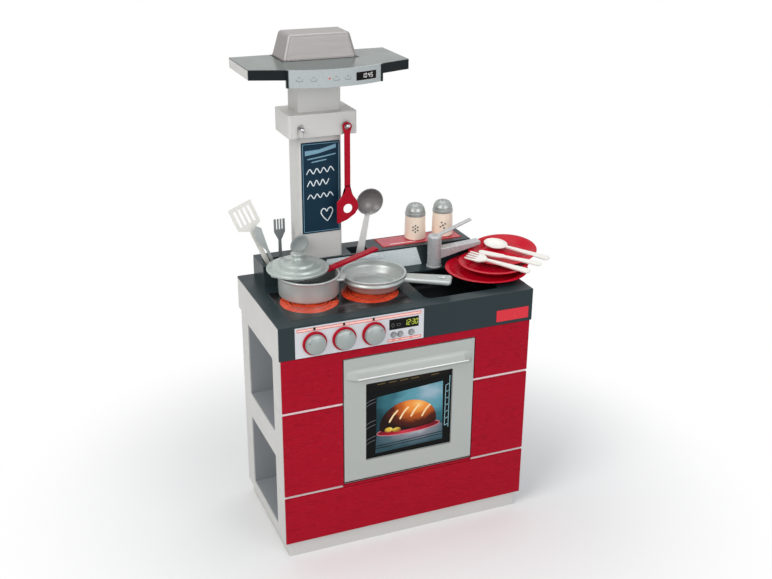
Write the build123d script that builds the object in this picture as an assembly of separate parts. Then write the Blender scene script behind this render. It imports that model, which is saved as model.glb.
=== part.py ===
from build123d import *
import os
from math import atan2, cos, degrees, hypot, radians, sin

# A toddler's play kitchen with its dishes, in millimetres.
# Origin: centre of the footprint on the floor. +X to the child's right, -Y the front, +Z up.

# ---------------------------------------------------------------- driving sizes

# worktop
TOP_W = 490.0            # width of the worktop
TOP_D = 260.0            # depth of the worktop
TOP_Z = 467.0            # height of the worktop above the floor
SKIRT_H = 62.0           # height of the worktop's skirt
COVER_T = 2.0            # slate sheet over the worktop
LIP_T = 3.0              # slate lip in front of the skirt
FRAME_T = 2.6            # walls of the worktop frame

# cabinet
CAB_W = 484.0            # width across the side walls
CAB_BACK = 124.0         # y of the back wall's outer face
WALL = 2.0               # moulded walls of the tiers
PANEL_T = 3.5            # thickness of the red front panels
PLINTH_H = 30.0
PLINTH_W = 470.0
PLINTH_FRONT = -124.0
PLINTH_BACK = 118.0
JOINT_LOW = 130.0        # height of the seam between lower and middle tier
JOINT_HIGH = 300.0       # height of the seam between middle and upper tier
GROOVE = 5.5             # light groove between two red panels
GROOVE_UNDER_DOOR = 2.0  # the groove is narrower under the oven door
CORNER_R = 4.0           # rounding of the cabinet's upright corners
PANEL_CHAMFER = 1.2
TIER_FLANGE = 14.0       # inward flange at a tier's lower edge
SEAM = 0.8               # height and depth of the groove between two tiers

# side compartments
BAY_FRONT = -79.0
BAY_BACK = 77.0
BAY_DEPTH = 97.0
BAY_LOW = (47.0, 193.0)    # floor and ceiling of the lower compartment
BAY_HIGH = (243.0, 389.0)  # floor and ceiling of the upper compartment
BAY_R = 4.0
INSERT_T = 2.0

# oven
DOOR_W = 255.6
DOOR_BOTTOM = 137.0
DOOR_TOP = 387.5
DOOR_T = 14.0
DOOR_PROUD = 0.5         # the door's face stands this far in front of the red panels
DOOR_SHELL = 3.0         # wall of the moulded door
DOOR_GAP = 2.2           # gap beside the door
DOOR_GAP_UNDER = 3.8     # gap below the door, which lets its lower edge swing
DOOR_EDGE_R = 4.0        # rounding of the door's lower front edge
WINDOW_W = 172.0
WINDOW_BOTTOM = 176.0
WINDOW_TOP = 333.0
WINDOW_RECESS = 4.5      # the pane lies this deep in the frame
PANE_T = 1.6
PANE_LAP = 6.0           # the pane reaches this far behind the frame
PANE_GAP = 0.2
WINDOW_R = 2.0
HANDLE_W = 214.0
HANDLE_Z = 347.0         # height of the moulded handle's nose
HANDLE_OUT = 11.0        # the handle's nose in front of the door's face
HANDLE_END = 10.0        # length of each sloping end of the handle
SCOOP_TOP = 379.0        # upper end of the hollow above the handle
SCOOP_DEEP = 5.0
HINGE_Y = -122.3
HINGE_Z = 142.0
HINGE_ROOM = 16.0        # solid height at the door's foot round the pins
PIN_R = 1.25
PIN_LEN = 16.0
PIN_GAP = 0.05           # radial running clearance of pins and shafts
OVEN_BACK = 94.0
LINER_T = 2.0
LINER_FLANGE = 7.0
BEARING_W = 8.0          # blocks beside the oven that carry the pins
BEARING_D = 9.0
RUNNER_W = 4.0
RUNNER_FRONT = -105.0
SHELF_Z = 205.0          # height of the oven's wire shelf
WIRE_R = 1.5
THIN_WIRE_R = 1.1
WIRE_PITCH = 20.0

# control panel, knobs and buttons
PANEL_LEFT = -216.0
PANEL_RIGHT = 24.0
PANEL_LOW = 406.0
PANEL_HIGH = 463.0
PLATE_T = 1.2
KNOB_X = (-181.0, -127.0, -72.0)
KNOB_Z = 431.0
COLLAR_R = 22.0
COLLAR_T = 4.0
KNOB_R = 19.0
KNOB_OUT = 12.5          # the knob's cap stands this far in front of its collar
KNOB_DOME = 4.0
KNOB_TURNED = (-68.0, 27.0, 50.0)   # where the pointers stand, clockwise from up
POINTER_AT = 12.5
POINTER_LEN = 7.0
POINTER_W = 2.0
POINTER_DEEP = 2.6
SHAFT_R = 4.0
CLIP_R = 5.4
KNOB_GAP = 0.3           # between a knob's cap and its collar
BUTTON_X = (-34.0, -21.5, 0.0)
BUTTON_Z = 421.5
BUTTON_R = 4.0
BUTTON_OUT = 4.0
BUTTON_FLANGE_R = 5.0
BUTTON_GAP = 0.3

# hob and sink
HOB = (-216.0, 16.0, -107.0, 25.0)     # left, right, front, back
HOB_T = 1.4
HOB_SUNK = 1.0           # depth of the shallow seat in the slate sheet
SINK = (42.0, 190.0, -103.0, 28.0)
SINK_DEPTH = 36.0
SINK_R = 14.0
SINK_T = 2.0
SINK_FLANGE = 4.0
DRAIN_R = 12.0

# ledge behind the worktop
LEDGE_LEFT = -211.0
LEDGE_RIGHT = 212.0
LEDGE_H = 35.0
LEDGE_BACK = 133.0
LEDGE_FRONT_LOW = 60.0   # y of the sloping front at the worktop
LEDGE_FRONT_HIGH = 68.0  # y of the sloping front at the top
LEDGE_LIP = 1.5          # the cover overhangs the front this far
LEDGE_T = 1.5
SLOT_LEFT = (-203.0, -140.0, 71.3, 106.0)   # left, right, front, back
SLOT_RIGHT = (-36.0, 2.0, 71.3, 106.0)
CUP_T = 1.4
CUP_DEPTH = 33.0
INLAY = (32.0, 200.0, 80.0, 128.0)
INLAY_T = 0.8
SCREW_R = 1.5
SCREW_LEN = 12.0
SCREW_BOSS_R = 4.0
SCREW_HEAD_R = 2.8
SCREW_HEAD_T = 1.4
SCREW_MID = 30.0
SCREW_BACK = 10.0        # the screws keep this far from the back wall

# tower
TOWER_X = -95.0
COLUMN_W = 81.0
COLUMN_FRONT = 71.5
COLUMN_R = 5.0
COLUMN_T = 2.4
COLUMN_BACK = 134.0
BOX_W = 129.0
BOX_FRONT = 54.0
BOX_Z = (741.0, 782.5)
BOX_R = 5.0
BOX_BACK = 136.5
BOX_WALL = 5.0           # front wall of the hook box
SLEEVE_GAP = 0.15        # the hook box slides over the column
BOARD_W = 74.0
BOARD_Z = (555.0, 727.0)
BOARD_T = 1.5
HOOK_SPREAD = 42.5       # from the tower's middle to each hook
HOOK_Z = 758.5
BOSS_R = 8.0
BOSS_OUT = 3.0
PEG_R = 3.0
PEG_OUT = 12.0
BALL_R = 4.2

# hood
HOOD_Z = (858.5, 876.0)
HOOD_SPAN = 290.0
HOOD_BACK = 132.5
WING_CORNER = 12.0       # y of the wings' front corners
STRIP_W = 166.0
STRIP_SIDE = -12.0       # y of the strip's ends
STRIP_MID = -30.0        # y of the strip's middle, which bows forward
STRIP_LOW = 846.0
STRIP_T = 2.5
END_CAP_T = 3.5
END_CAP_D = 4.6
HOOD_T = 2.4
CHIMNEY_BASE = (135.0, 70.0)
CHIMNEY_TOP = (113.0, 60.0)
CHIMNEY_H = 44.0
CHIMNEY_Y = 97.0
CHIMNEY_R = 7.0
CHIMNEY_T = 2.0
CHIMNEY_LIP = 2.5
CHIMNEY_LAP = 1.0        # the collar reaches this far beyond the tapering form

# tap
TAP_X = 124.0
TAP_Y = 44.0
TAP_BASE_R = 15.0
TAP_BASE_H = 3.0
TAP_R = 13.5
TAP_TOP = 530.0
TAP_SPLIT = 512.0        # seam between the swivelling spout and the lever's cap
SPOUT_LEN = 95.0
SPOUT_W = 19.0
SPOUT_ROOT = (481.0, 503.0)
SPOUT_TIP = (501.0, 509.0)
LEVER_LEN = 76.0
LEVER_RISE = 27.0
LEVER_W = 9.0
LEVER_T = 4.0
TAP_PIN_R = 5.0
TAP_GAP = 0.3            # between the tap's stacked pieces

# dishes
SEAT = 0.3               # a dish lies this far above what carries it
POT = (-147.0, -2.0)
POT_R = 54.5
POT_BASE_R = 51.0
POT_H = 41.0
POT_T = 1.8
EAR_OUT = 17.0
EAR_W = 18.0
EAR_T = 4.0
EAR_DROP = 3.0           # the ears lie this far under the rim
LID_SHIFT = (-14.0, 19.0)
LID_R = 56.5
LID_RISE = 11.0
LID_T = 1.8
LID_KNOB_R = 11.0
LID_KNOB_H = 12.0
PAN = (-24.0, -9.0)
PAN_R = 61.0
PAN_BASE_R = 48.0
PAN_H = 26.0
PAN_T = 2.0
PAN_HANDLE_LEN = 92.0
PAN_HANDLE_W = 19.0
PAN_HANDLE_T = 9.0
PAN_HANDLE_DROP = 3.0
PAN_HOLE = (13.0, 7.0)   # length and width of the hanging hole
PAN_HANDLE_TURN = -24.0  # direction of the handle seen from above, in degrees
DISH_T = 1.8
DISH_RIM = 6.0           # width of a plate's flat rim
PLATE_ONE = (201.0, -27.0, 79.0, 11.0)   # x, y, radius, height
PLATE_TWO = (218.0, -22.0, 67.0, 13.0)
PLATE_THREE = (253.0, 8.0, 66.0, 8.8)
PLATE_BASE = 0.66        # base radius over rim radius
PLATE_TWO_Z = 473.6      # height at which the second plate lies in the first
PLATE_THREE_Z = 496.1    # height of the top plate's rim at its middle
PLATE_LEAN = 7.3
PLATE_LEAN_WAY = 42.0    # direction in which the top plate rises, in degrees
CUTLERY_T = 2.2
CUTLERY_W = 10.0
SHAKER_R = 21.0
SHAKER_BODY_H = 47.0
SHAKER_H = 71.0
SHAKER_Y = 110.0
SHAKER_X = (112.0, 171.0)
SHAKER_HOLE_R = 1.3
SHAKER_HOLE_RING = 7.5
SHAKER_HOLES = 6

# loose cutlery and utensils: foot and head of each piece, on its middle line
UTENSIL_T = 2.4          # thickness of flat handles
TURNER = ((-182.3, 99.0, 472.2), (-243.0, 99.0, 616.0))
TURNER_HEAD = (47.0, 46.0)     # length and width of the slotted blade
TURNER_GRIP = 9.0
TABLE_KNIFE = ((-174.5, 88.0, 471.8), (-214.5, 88.0, 576.5))
TABLE_FORK = ((-167.9, 98.0, 471.4), (-168.6, 98.0, 581.0))
TABLE_SPOON = ((-158.0, 92.0, 471.9), (-137.2, 51.8, 560.9))
LADLE = ((-16.9, 90.0, 472.6), (6.0, 84.0, 598.0))
LADLE_R = 26.5
LADLE_T = 1.8
LADLE_GRIP_T = 4.0
HANG_LEN = 183.0         # from the hook to the tip of the hanging spoon
HANG_T = 3.2
HANG_W = 10.5
HANG_EYE = 8.5           # outer radius of the hanging spoon's eye
HANG_PLAY = 1.2          # the eye's hole is this much wider in radius than the hook's ball
HANG_OUT = 6.6           # the hanging spoon lies this far in front of the hook box
HANG_HOLE_R = 9.2
SPOON_NECK = (-117.5, -11.0, 484.0)
SPOON_BEND = (-98.5, 8.4, 512.5)
SPOON_END = (13.0, 84.0, 507.4)
SPOON_W = 10.0
SPOON_T = 5.0
SPOON_BOWL_R = 18.0
FORK_ON_PLATE = ((183.0, 22.0, 493.5), (251.0, -104.0, 490.5))
KNIFE_ON_PLATE = ((208.0, 26.0, 490.4), (286.0, -80.0, 495.6))
SPOON_ON_PLATE = ((243.0, 56.0, 499.4), (314.0, -70.0, 499.2))

# ---------------------------------------------------------------- derived sizes

FRONT = -TOP_D / 2                       # face of the worktop and of the red panels
SIDE = TOP_W / 2
CAB_SIDE = CAB_W / 2
SHEET_Z = TOP_Z - COVER_T                # underside of the slate sheet
SKIRT_Z = TOP_Z - SKIRT_H
FRAME_Z = SHEET_Z - FRAME_T              # underside of the frame's deck
TIER_FRONT = FRONT + PANEL_T             # face of the grey tiers, behind the red panels
DOOR_SIDE = DOOR_W / 2 + DOOR_GAP        # half width of the door's opening
DOOR_FLOOR = DOOR_BOTTOM - DOOR_GAP_UNDER
DOOR_FACE = FRONT - DOOR_PROUD
LEDGE_Z = TOP_Z + LEDGE_H                # underside of the ledge's cover
LEDGE_TOP = LEDGE_Z + COVER_T
HOOD_SHEET_Z = HOOD_Z[1] - COVER_T       # underside of the hood's slate sheet
PLATE_FACE = FRONT - PLATE_T             # face of the control panel
DRILL = 0.1                              # radial clearance of fixed through holes


# ---------------------------------------------------------------- helpers

def block(x0, x1, y0, y1, z0, z1):
    """A box between two corners."""
    middle = Pos((x0 + x1) / 2, (y0 + y1) / 2, (z0 + z1) / 2)
    return middle * Box(x1 - x0, y1 - y0, z1 - z0)


def upright(solid, radius):
    """Round a solid's upright edges."""
    return fillet(solid.edges().filter_by(Axis.Z), radius)


def soft_block(x0, x1, y0, y1, z0, z1, radius):
    """A box with rounded upright edges."""
    return upright(block(x0, x1, y0, y1, z0, z1), radius)


def front_rod(x, z, radius, y0, y1):
    """A cylinder along Y, from y0 back to y1."""
    middle = Pos(x, (y0 + y1) / 2, z) * Rot(90, 0, 0)
    return middle * Cylinder(radius, y1 - y0)


def side_rod(y, z, radius, x0, x1):
    """A cylinder along X, given by its two ends in either order."""
    middle = Pos((x0 + x1) / 2, y, z) * Rot(0, 90, 0)
    return middle * Cylinder(radius, abs(x1 - x0))


def post(x, y, radius, z0, z1):
    """A cylinder along Z."""
    return Pos(x, y, (z0 + z1) / 2) * Cylinder(radius, z1 - z0)


def side_profile(points, x0, x1):
    """Extrude an outline of (y, z) points along X."""
    plane = Plane(origin=(x0, 0, 0), x_dir=(0, 1, 0), z_dir=(1, 0, 0))
    return extrude(plane * make_face(Polyline(*points, close=True)), x1 - x0)


def turned(points, x=0.0, y=0.0, z=0.0):
    """Revolve an outline of (radius, height) points about an upright axis."""
    outline = Plane.XZ * make_face(Polyline(*points, close=True))
    return Pos(x, y, z) * revolve(outline, Axis.Z, 360)


def laid(solid, start, end, face):
    """Put a solid that lies along +X from the origin onto the line start-end, its +Z facing face."""
    along = Vector(*end) - Vector(*start)
    side = Vector(*face).cross(along)
    return Plane(origin=start, x_dir=along, z_dir=along.cross(side)).location * solid


def length_of(line):
    """Length of a (start, end) line."""
    return (Vector(*line[1]) - Vector(*line[0])).length


# ---------------------------------------------------------------- cabinet

def base_plinth():
    side = PLINTH_W / 2
    tray = soft_block(-side, side, PLINTH_FRONT, PLINTH_BACK, 0, PLINTH_H, CORNER_R)
    hollow = block(-side + WALL, side - WALL, PLINTH_FRONT + WALL, PLINTH_BACK - WALL, WALL, PLINTH_H)
    rib = block(-WALL, WALL, PLINTH_FRONT + WALL, PLINTH_BACK - WALL, WALL, PLINTH_H)
    return tray - hollow + rib


def tier(z0, z1):
    """One grey ring of the cabinet with its lower flange and the door's cut-out."""
    ring = soft_block(-CAB_SIDE, CAB_SIDE, TIER_FRONT, CAB_BACK, z0, z1, CORNER_R)
    inner = CAB_SIDE - WALL
    ring -= block(-inner, inner, TIER_FRONT + WALL, CAB_BACK - WALL, z0 + WALL, z1)
    lap = inner - TIER_FLANGE
    y0 = TIER_FRONT + WALL + TIER_FLANGE
    ring -= block(-lap, lap, y0, CAB_BACK - WALL - TIER_FLANGE, z0, z0 + WALL)
    ring -= block(-DOOR_SIDE, DOOR_SIDE, FRONT, OVEN_BACK, DOOR_FLOOR, DOOR_TOP + DOOR_GAP)
    lap = DOOR_SIDE + BEARING_W + SEAT
    ring -= block(-lap, lap, TIER_FRONT + WALL, OVEN_BACK + SEAT, DOOR_FLOOR - LINER_T - SEAT,
                  DOOR_TOP + DOOR_GAP + LINER_FLANGE + SEAT)
    return cut_bays(ring)


def seam_groove(z):
    """A shallow groove round the sides and back of the cabinet at the seam of two tiers."""
    side = CAB_SIDE
    low, high = z - SEAM / 2, z + SEAM / 2
    around = block(-side - 1, side + 1, TIER_FRONT + CORNER_R, CAB_BACK + 1, low, high)
    return around - soft_block(-side + SEAM, side - SEAM, FRONT, CAB_BACK - SEAM, low, high, CORNER_R)


def cut_bays(ring):
    """Cut the openings of the side compartments, and the insert's room through the flanges."""
    for floor, ceiling in (BAY_LOW, BAY_HIGH):
        mouth = block(-CAB_SIDE - 1, -CAB_SIDE + WALL + 1, BAY_FRONT, BAY_BACK, floor, ceiling)
        ring -= fillet(mouth.edges().filter_by(Axis.X), BAY_R)
    reach = INSERT_T + 0.5
    low = BAY_LOW[0] - reach
    high = BAY_HIGH[1] + reach
    room = block(-CAB_SIDE + WALL, -CAB_SIDE + WALL + BAY_DEPTH + reach,
                 BAY_FRONT - reach, BAY_BACK + reach, low, high)
    return ring - room


def tier_lower():
    return tier(PLINTH_H, JOINT_LOW) - seam_groove(JOINT_LOW)


def tier_middle():
    return tier(JOINT_LOW, JOINT_HIGH) - seam_groove(JOINT_LOW) - seam_groove(JOINT_HIGH)


def tier_upper():
    body = tier(JOINT_HIGH, FRAME_Z) - seam_groove(JOINT_HIGH)
    for x in KNOB_X:
        body -= front_rod(x, KNOB_Z, SHAFT_R + PIN_GAP, FRONT, TIER_FRONT + 2 * WALL)
    return body


def shelf_insert():
    """Moulded insert with the two side compartments, open towards -X."""
    x0 = -CAB_SIDE + WALL
    x1 = x0 + BAY_DEPTH
    insert = block(x1 - INSERT_T, x1, BAY_FRONT - INSERT_T, BAY_BACK + INSERT_T,
                   BAY_LOW[0] - INSERT_T, BAY_HIGH[1] + INSERT_T)
    for floor, ceiling in (BAY_LOW, BAY_HIGH):
        shell = block(x0, x1, BAY_FRONT - INSERT_T, BAY_BACK + INSERT_T, floor - INSERT_T, ceiling + INSERT_T)
        insert += shell - block(x0, x1 - INSERT_T, BAY_FRONT, BAY_BACK, floor, ceiling)
    return insert


def panel(z0, z1):
    """A red front panel over the cabinet's whole width."""
    sheet = block(-CAB_SIDE, CAB_SIDE, FRONT, TIER_FRONT, z0, z1)
    front = sheet.faces().sort_by(Axis.Y)[0]
    return chamfer(front.edges(), PANEL_CHAMFER)


def front_upper():
    body = panel(JOINT_HIGH + GROOVE / 2, SKIRT_Z - 0.5)
    return body - block(-DOOR_SIDE, DOOR_SIDE, FRONT - 1, TIER_FRONT + 1, 0, DOOR_TOP + DOOR_GAP)


def front_middle():
    low = JOINT_LOW + GROOVE / 2
    body = panel(low, JOINT_HIGH - GROOVE / 2)
    body -= block(-DOOR_SIDE, DOOR_SIDE, FRONT - 1, TIER_FRONT + 1, DOOR_FLOOR, TOP_Z)
    strip_low = JOINT_LOW - GROOVE / 2 + GROOVE_UNDER_DOOR
    return body + block(-DOOR_SIDE, DOOR_SIDE, FRONT, TIER_FRONT, strip_low, low)


def front_lower():
    return panel(PLINTH_H + 1.0, JOINT_LOW - GROOVE / 2)


# ---------------------------------------------------------------- worktop

def sink_cut(z0, z1, grow=0.0):
    x0, x1, y0, y1 = SINK
    return soft_block(x0 - grow, x1 + grow, y0 - grow, y1 + grow, z0, z1, SINK_R + grow)


def worktop_frame():
    inner = SIDE - FRAME_T
    body = block(-SIDE, SIDE, FRONT + LIP_T, -FRONT, SKIRT_Z, SHEET_Z)
    body = fillet(body.edges().filter_by(Axis.Z).sort_by(Axis.Y)[-2:], CORNER_R)
    body -= block(-inner, inner, FRONT, -FRONT - FRAME_T, SKIRT_Z, FRAME_Z)
    for x, y in screw_places():
        body -= post(x, y, SCREW_R + DRILL, FRAME_Z - 1, SHEET_Z + 1)
    return body - sink_cut(FRAME_Z - 1, SHEET_Z + 1, SINK_FLANGE + SEAT)


def worktop_cover():
    sheet = block(-SIDE, SIDE, FRONT, -FRONT, SHEET_Z, TOP_Z)
    sheet = fillet(sheet.edges().filter_by(Axis.Z).sort_by(Axis.Y)[-2:], CORNER_R)
    lip = block(-SIDE, SIDE, FRONT, FRONT + LIP_T, SKIRT_Z, SHEET_Z)
    body = sheet + lip
    edge = body.edges().filter_by(Axis.X).sort_by(Axis.Y)[0:2].sort_by(Axis.Z)[-1]
    body = fillet(edge, COVER_T / 2)
    body -= sink_cut(SHEET_Z - 1, TOP_Z + 1)
    x0, x1, y0, y1 = HOB
    body -= block(x0, x1, y0, y1, TOP_Z - HOB_SUNK, TOP_Z + 1)
    for x in KNOB_X:
        body -= front_rod(x, KNOB_Z, SHAFT_R + PIN_GAP, FRONT - 1, TIER_FRONT)
    for x in BUTTON_X:
        body -= front_rod(x, BUTTON_Z, BUTTON_FLANGE_R + BUTTON_GAP, FRONT - 1, TIER_FRONT)
    for x, y in screw_places():
        body -= post(x, y, SCREW_R + DRILL, SHEET_Z - 1, TOP_Z + 1)
    return body


def hob_plate():
    x0, x1, y0, y1 = HOB
    plate = block(x0, x1, y0, y1, TOP_Z - HOB_SUNK, TOP_Z - HOB_SUNK + HOB_T)
    top = plate.faces().sort_by(Axis.Z)[-1]
    return chamfer(top.edges(), HOB_T - HOB_SUNK)


def sink_basin():
    x0, x1, y0, y1 = SINK
    top = SHEET_Z
    bottom = top - SINK_DEPTH
    flange = sink_cut(top - SINK_T, top, SINK_FLANGE)
    bowl = sink_cut(bottom, top - SINK_T, 0.0)
    hollow = soft_block(x0 + SINK_T, x1 - SINK_T, y0 + SINK_T, y1 - SINK_T, bottom + SINK_T, top, SINK_R - SINK_T)
    floor = hollow.faces().sort_by(Axis.Z)[0]
    hollow = fillet(floor.edges(), SINK_R / 2)
    drain = post((x0 + x1) / 2, (y0 + y1) / 2, DRAIN_R, bottom + SINK_T / 2, bottom + SINK_T)
    return flange + bowl - hollow - drain


def control_panel():
    body = block(PANEL_LEFT, PANEL_RIGHT, PLATE_FACE, FRONT, PANEL_LOW, PANEL_HIGH)
    for x in KNOB_X:
        body -= front_rod(x, KNOB_Z, SHAFT_R + PIN_GAP, PLATE_FACE - 1, FRONT + 1)
    for x in BUTTON_X:
        body -= front_rod(x, BUTTON_Z, BUTTON_R + BUTTON_GAP, PLATE_FACE - 1, FRONT + 1)
    return body


def knob_collars():
    """Red rings on the control panel, one round each knob."""
    rings = []
    for x in KNOB_X:
        ring = front_rod(x, KNOB_Z, COLLAR_R, PLATE_FACE - COLLAR_T, PLATE_FACE)
        ring = fillet(ring.edges().sort_by(Axis.Y)[0], COLLAR_T / 3)
        rings.append(ring - front_rod(x, KNOB_Z, SHAFT_R + PIN_GAP, PLATE_FACE - COLLAR_T, PLATE_FACE))
    return Compound(children=rings)


def knob(x, pointer):
    """A domed cap on a shaft that snaps in behind the front wall; the pointer's angle is clockwise from up."""
    back = PLATE_FACE - COLLAR_T - KNOB_GAP
    clip = TIER_FRONT + WALL + KNOB_GAP
    edge = Polyline((0, KNOB_OUT + KNOB_DOME), (0, 0), (KNOB_R - 0.8, 0), (KNOB_R, 0.8), (KNOB_R - 1, KNOB_OUT))
    dome = ThreePointArc((KNOB_R - 1, KNOB_OUT), (KNOB_R / 2, KNOB_OUT + 0.78 * KNOB_DOME), (0, KNOB_OUT + KNOB_DOME))
    cap = revolve(Plane.XZ * make_face(edge + dome), Axis.Z, 360)
    groove = Pos(0, POINTER_AT, KNOB_OUT + KNOB_DOME - POINTER_DEEP) * extrude(
        SlotOverall(POINTER_LEN, POINTER_W, rotation=90), KNOB_DOME)
    cap -= Rot(0, 0, -pointer) * groove
    body = Pos(x, back, KNOB_Z) * Rot(90, 0, 0) * cap
    body += front_rod(x, KNOB_Z, SHAFT_R, back, clip + WALL)
    return body + front_rod(x, KNOB_Z, CLIP_R, clip, clip + WALL)


def button(x):
    """A small round push-button held by a flange behind the control panel."""
    flange_back = FRONT + BUTTON_GAP + 1.0
    body = front_rod(x, BUTTON_Z, BUTTON_R, PLATE_FACE - BUTTON_OUT, FRONT + BUTTON_GAP)
    body = fillet(body.edges().sort_by(Axis.Y)[0], 1.0)
    return body + front_rod(x, BUTTON_Z, BUTTON_FLANGE_R, FRONT + BUTTON_GAP, flange_back)


# ---------------------------------------------------------------- oven

def door_frame():
    """Moulded door frame: window opening, hollow back and the handle formed in its upper rail."""
    half = DOOR_W / 2
    back = DOOR_FACE + DOOR_T
    body = block(-half, half, DOOR_FACE, back, DOOR_BOTTOM, DOOR_TOP)
    low_front = body.edges().filter_by(Axis.X).group_by(Axis.Z)[0].sort_by(Axis.Y)[0]
    body = fillet(low_front, DOOR_EDGE_R)
    body = body + door_handle() - handle_scoop()
    body -= door_hollows(back)
    win = WINDOW_W / 2
    opening = block(-win, win, DOOR_FACE, back, WINDOW_BOTTOM, WINDOW_TOP)
    body -= fillet(opening.edges().filter_by(Axis.Y), WINDOW_R)
    rebate = win + PANE_LAP
    body -= block(-rebate, rebate, DOOR_FACE + WINDOW_RECESS, back,
                  WINDOW_BOTTOM - PANE_LAP, WINDOW_TOP + PANE_LAP)
    for side in (-1, 1):
        pin = side_rod(HINGE_Y, HINGE_Z, PIN_R + PIN_GAP, side * (half - PIN_LEN / 2), side * (half + 1))
        body -= pin
    return body


def door_handle():
    """The moulded nose of the handle; its ends slope back into the door's face."""
    y0 = DOOR_FACE
    nose = side_profile([(y0 + 3, HANDLE_Z + 11), (y0 - 4, HANDLE_Z + 6.5),
                         (y0 - HANDLE_OUT + 1, HANDLE_Z + 3), (y0 - HANDLE_OUT, HANDLE_Z + 1),
                         (y0 - HANDLE_OUT, HANDLE_Z - 1.5), (y0 - HANDLE_OUT + 2, HANDLE_Z - 4),
                         (y0, HANDLE_Z - 11), (y0 + 3, HANDLE_Z - 11)], -HANDLE_W / 2, HANDLE_W / 2)
    return nose & handle_plan(-HANDLE_OUT, 3)


def handle_plan(depth, reach):
    """Plan of the handle with sloping ends: depth beyond the face, reach on the other side of it."""
    half = HANDLE_W / 2
    run = half - HANDLE_END
    y0 = DOOR_FACE
    outline = Polyline((-half, y0 + reach), (-half, y0), (-run, y0 + depth), (run, y0 + depth),
                       (half, y0), (half, y0 + reach), close=True)
    return Pos(0, 0, DOOR_BOTTOM) * extrude(make_face(outline), DOOR_TOP - DOOR_BOTTOM)


def handle_scoop():
    """The hollow for the fingers above the handle's nose."""
    y0 = DOOR_FACE
    curve = Spline((y0, SCOOP_TOP), (y0 + 0.9 * SCOOP_DEEP, SCOOP_TOP - 7), (y0 + SCOOP_DEEP, SCOOP_TOP - 13),
                   (y0, HANDLE_Z + 9))
    rest = Polyline((y0, HANDLE_Z + 9), (y0 - 3, HANDLE_Z + 9), (y0 - 3, SCOOP_TOP), (y0, SCOOP_TOP))
    plane = Plane(origin=(-HANDLE_W / 2, 0, 0), x_dir=(0, 1, 0), z_dir=(1, 0, 0))
    cut = extrude(plane * make_face(curve + rest), HANDLE_W)
    return cut & handle_plan(SCOOP_DEEP, -3)


def door_hollows(back):
    """Pockets in the door's back: two beside the window, one under it and one behind the handle."""
    rim = DOOR_SHELL
    half = DOOR_W / 2 - rim
    win = WINDOW_W / 2 + PANE_LAP + rim
    low = DOOR_BOTTOM + HINGE_ROOM
    top = WINDOW_TOP + PANE_LAP + rim
    y0 = DOOR_FACE + rim
    cuts = block(-win + rim, win - rim, y0, back, DOOR_BOTTOM + 2 * rim, WINDOW_BOTTOM - PANE_LAP - rim)
    for side in (-1, 1):
        cuts += block(side * (win + half) / 2 - (half - win) / 2, side * (win + half) / 2 + (half - win) / 2,
                      y0, back, low, WINDOW_TOP - rim)
    return cuts + block(-half, half, DOOR_FACE + SCOOP_DEEP + rim, back, top, DOOR_TOP - rim)


def door_window():
    """Clear pane in the rebate behind the door's frame."""
    side = WINDOW_W / 2 + PANE_LAP - PANE_GAP
    y0 = DOOR_FACE + WINDOW_RECESS
    return block(-side, side, y0, y0 + PANE_T, WINDOW_BOTTOM - PANE_LAP + PANE_GAP, WINDOW_TOP + PANE_LAP - PANE_GAP)


def hinge_pins():
    """The two steel pins the door turns on."""
    half = DOOR_W / 2
    reach = PIN_LEN / 2
    pins = [side_rod(HINGE_Y, HINGE_Z, PIN_R, side * (half - reach), side * (half + reach)) for side in (-1, 1)]
    return Compound(children=pins)


def oven_liner():
    """The oven's box: open front with a flange behind the cabinet's front wall, bearings and shelf runners."""
    y0 = TIER_FRONT + WALL
    side = DOOR_SIDE
    top = DOOR_TOP + DOOR_GAP
    shell = block(-side - LINER_T, side + LINER_T, y0, OVEN_BACK, DOOR_FLOOR - LINER_T, top + LINER_T)
    lap = side + LINER_FLANGE
    shell += block(-lap, lap, y0, y0 + LINER_T, DOOR_FLOOR - LINER_T, top + LINER_FLANGE)
    for s in (-1, 1):
        x = s * (side + BEARING_W / 2)
        shell += block(x - BEARING_W / 2, x + BEARING_W / 2, y0, y0 + BEARING_D, DOOR_FLOOR, HINGE_Z + BEARING_D / 2)
    shell -= block(-side, side, y0 - 1, OVEN_BACK - LINER_T, DOOR_FLOOR, top)
    for s in (-1, 1):
        x = s * (side - RUNNER_W / 2)
        shell += block(x - RUNNER_W / 2, x + RUNNER_W / 2, RUNNER_FRONT, OVEN_BACK - LINER_T,
                       SHELF_Z - WIRE_R - LINER_T, SHELF_Z - WIRE_R)
    for s in (-1, 1):
        shell -= side_rod(HINGE_Y, HINGE_Z, PIN_R + PIN_GAP, s * (side - 1), s * (side + BEARING_W + 1))
    return shell


def oven_shelf():
    """Wire shelf: two long bearers with wires across and a bar at each end."""
    x1 = DOOR_SIDE - WIRE_R - 1.0
    y0 = RUNNER_FRONT + 2 * WIRE_R
    y1 = OVEN_BACK - LINER_T - 2 * WIRE_R
    grid = side_rod(y0, SHELF_Z, WIRE_R, -x1, x1) + side_rod(y1, SHELF_Z, WIRE_R, -x1, x1)
    count = int(2 * x1 / WIRE_PITCH)
    reach = x1 - 2 * WIRE_R
    for k in range(count + 1):
        x = -reach + k * 2 * reach / count
        grid += front_rod(x, SHELF_Z, THIN_WIRE_R, y0, y1)
    return grid


# ---------------------------------------------------------------- ledge

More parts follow.
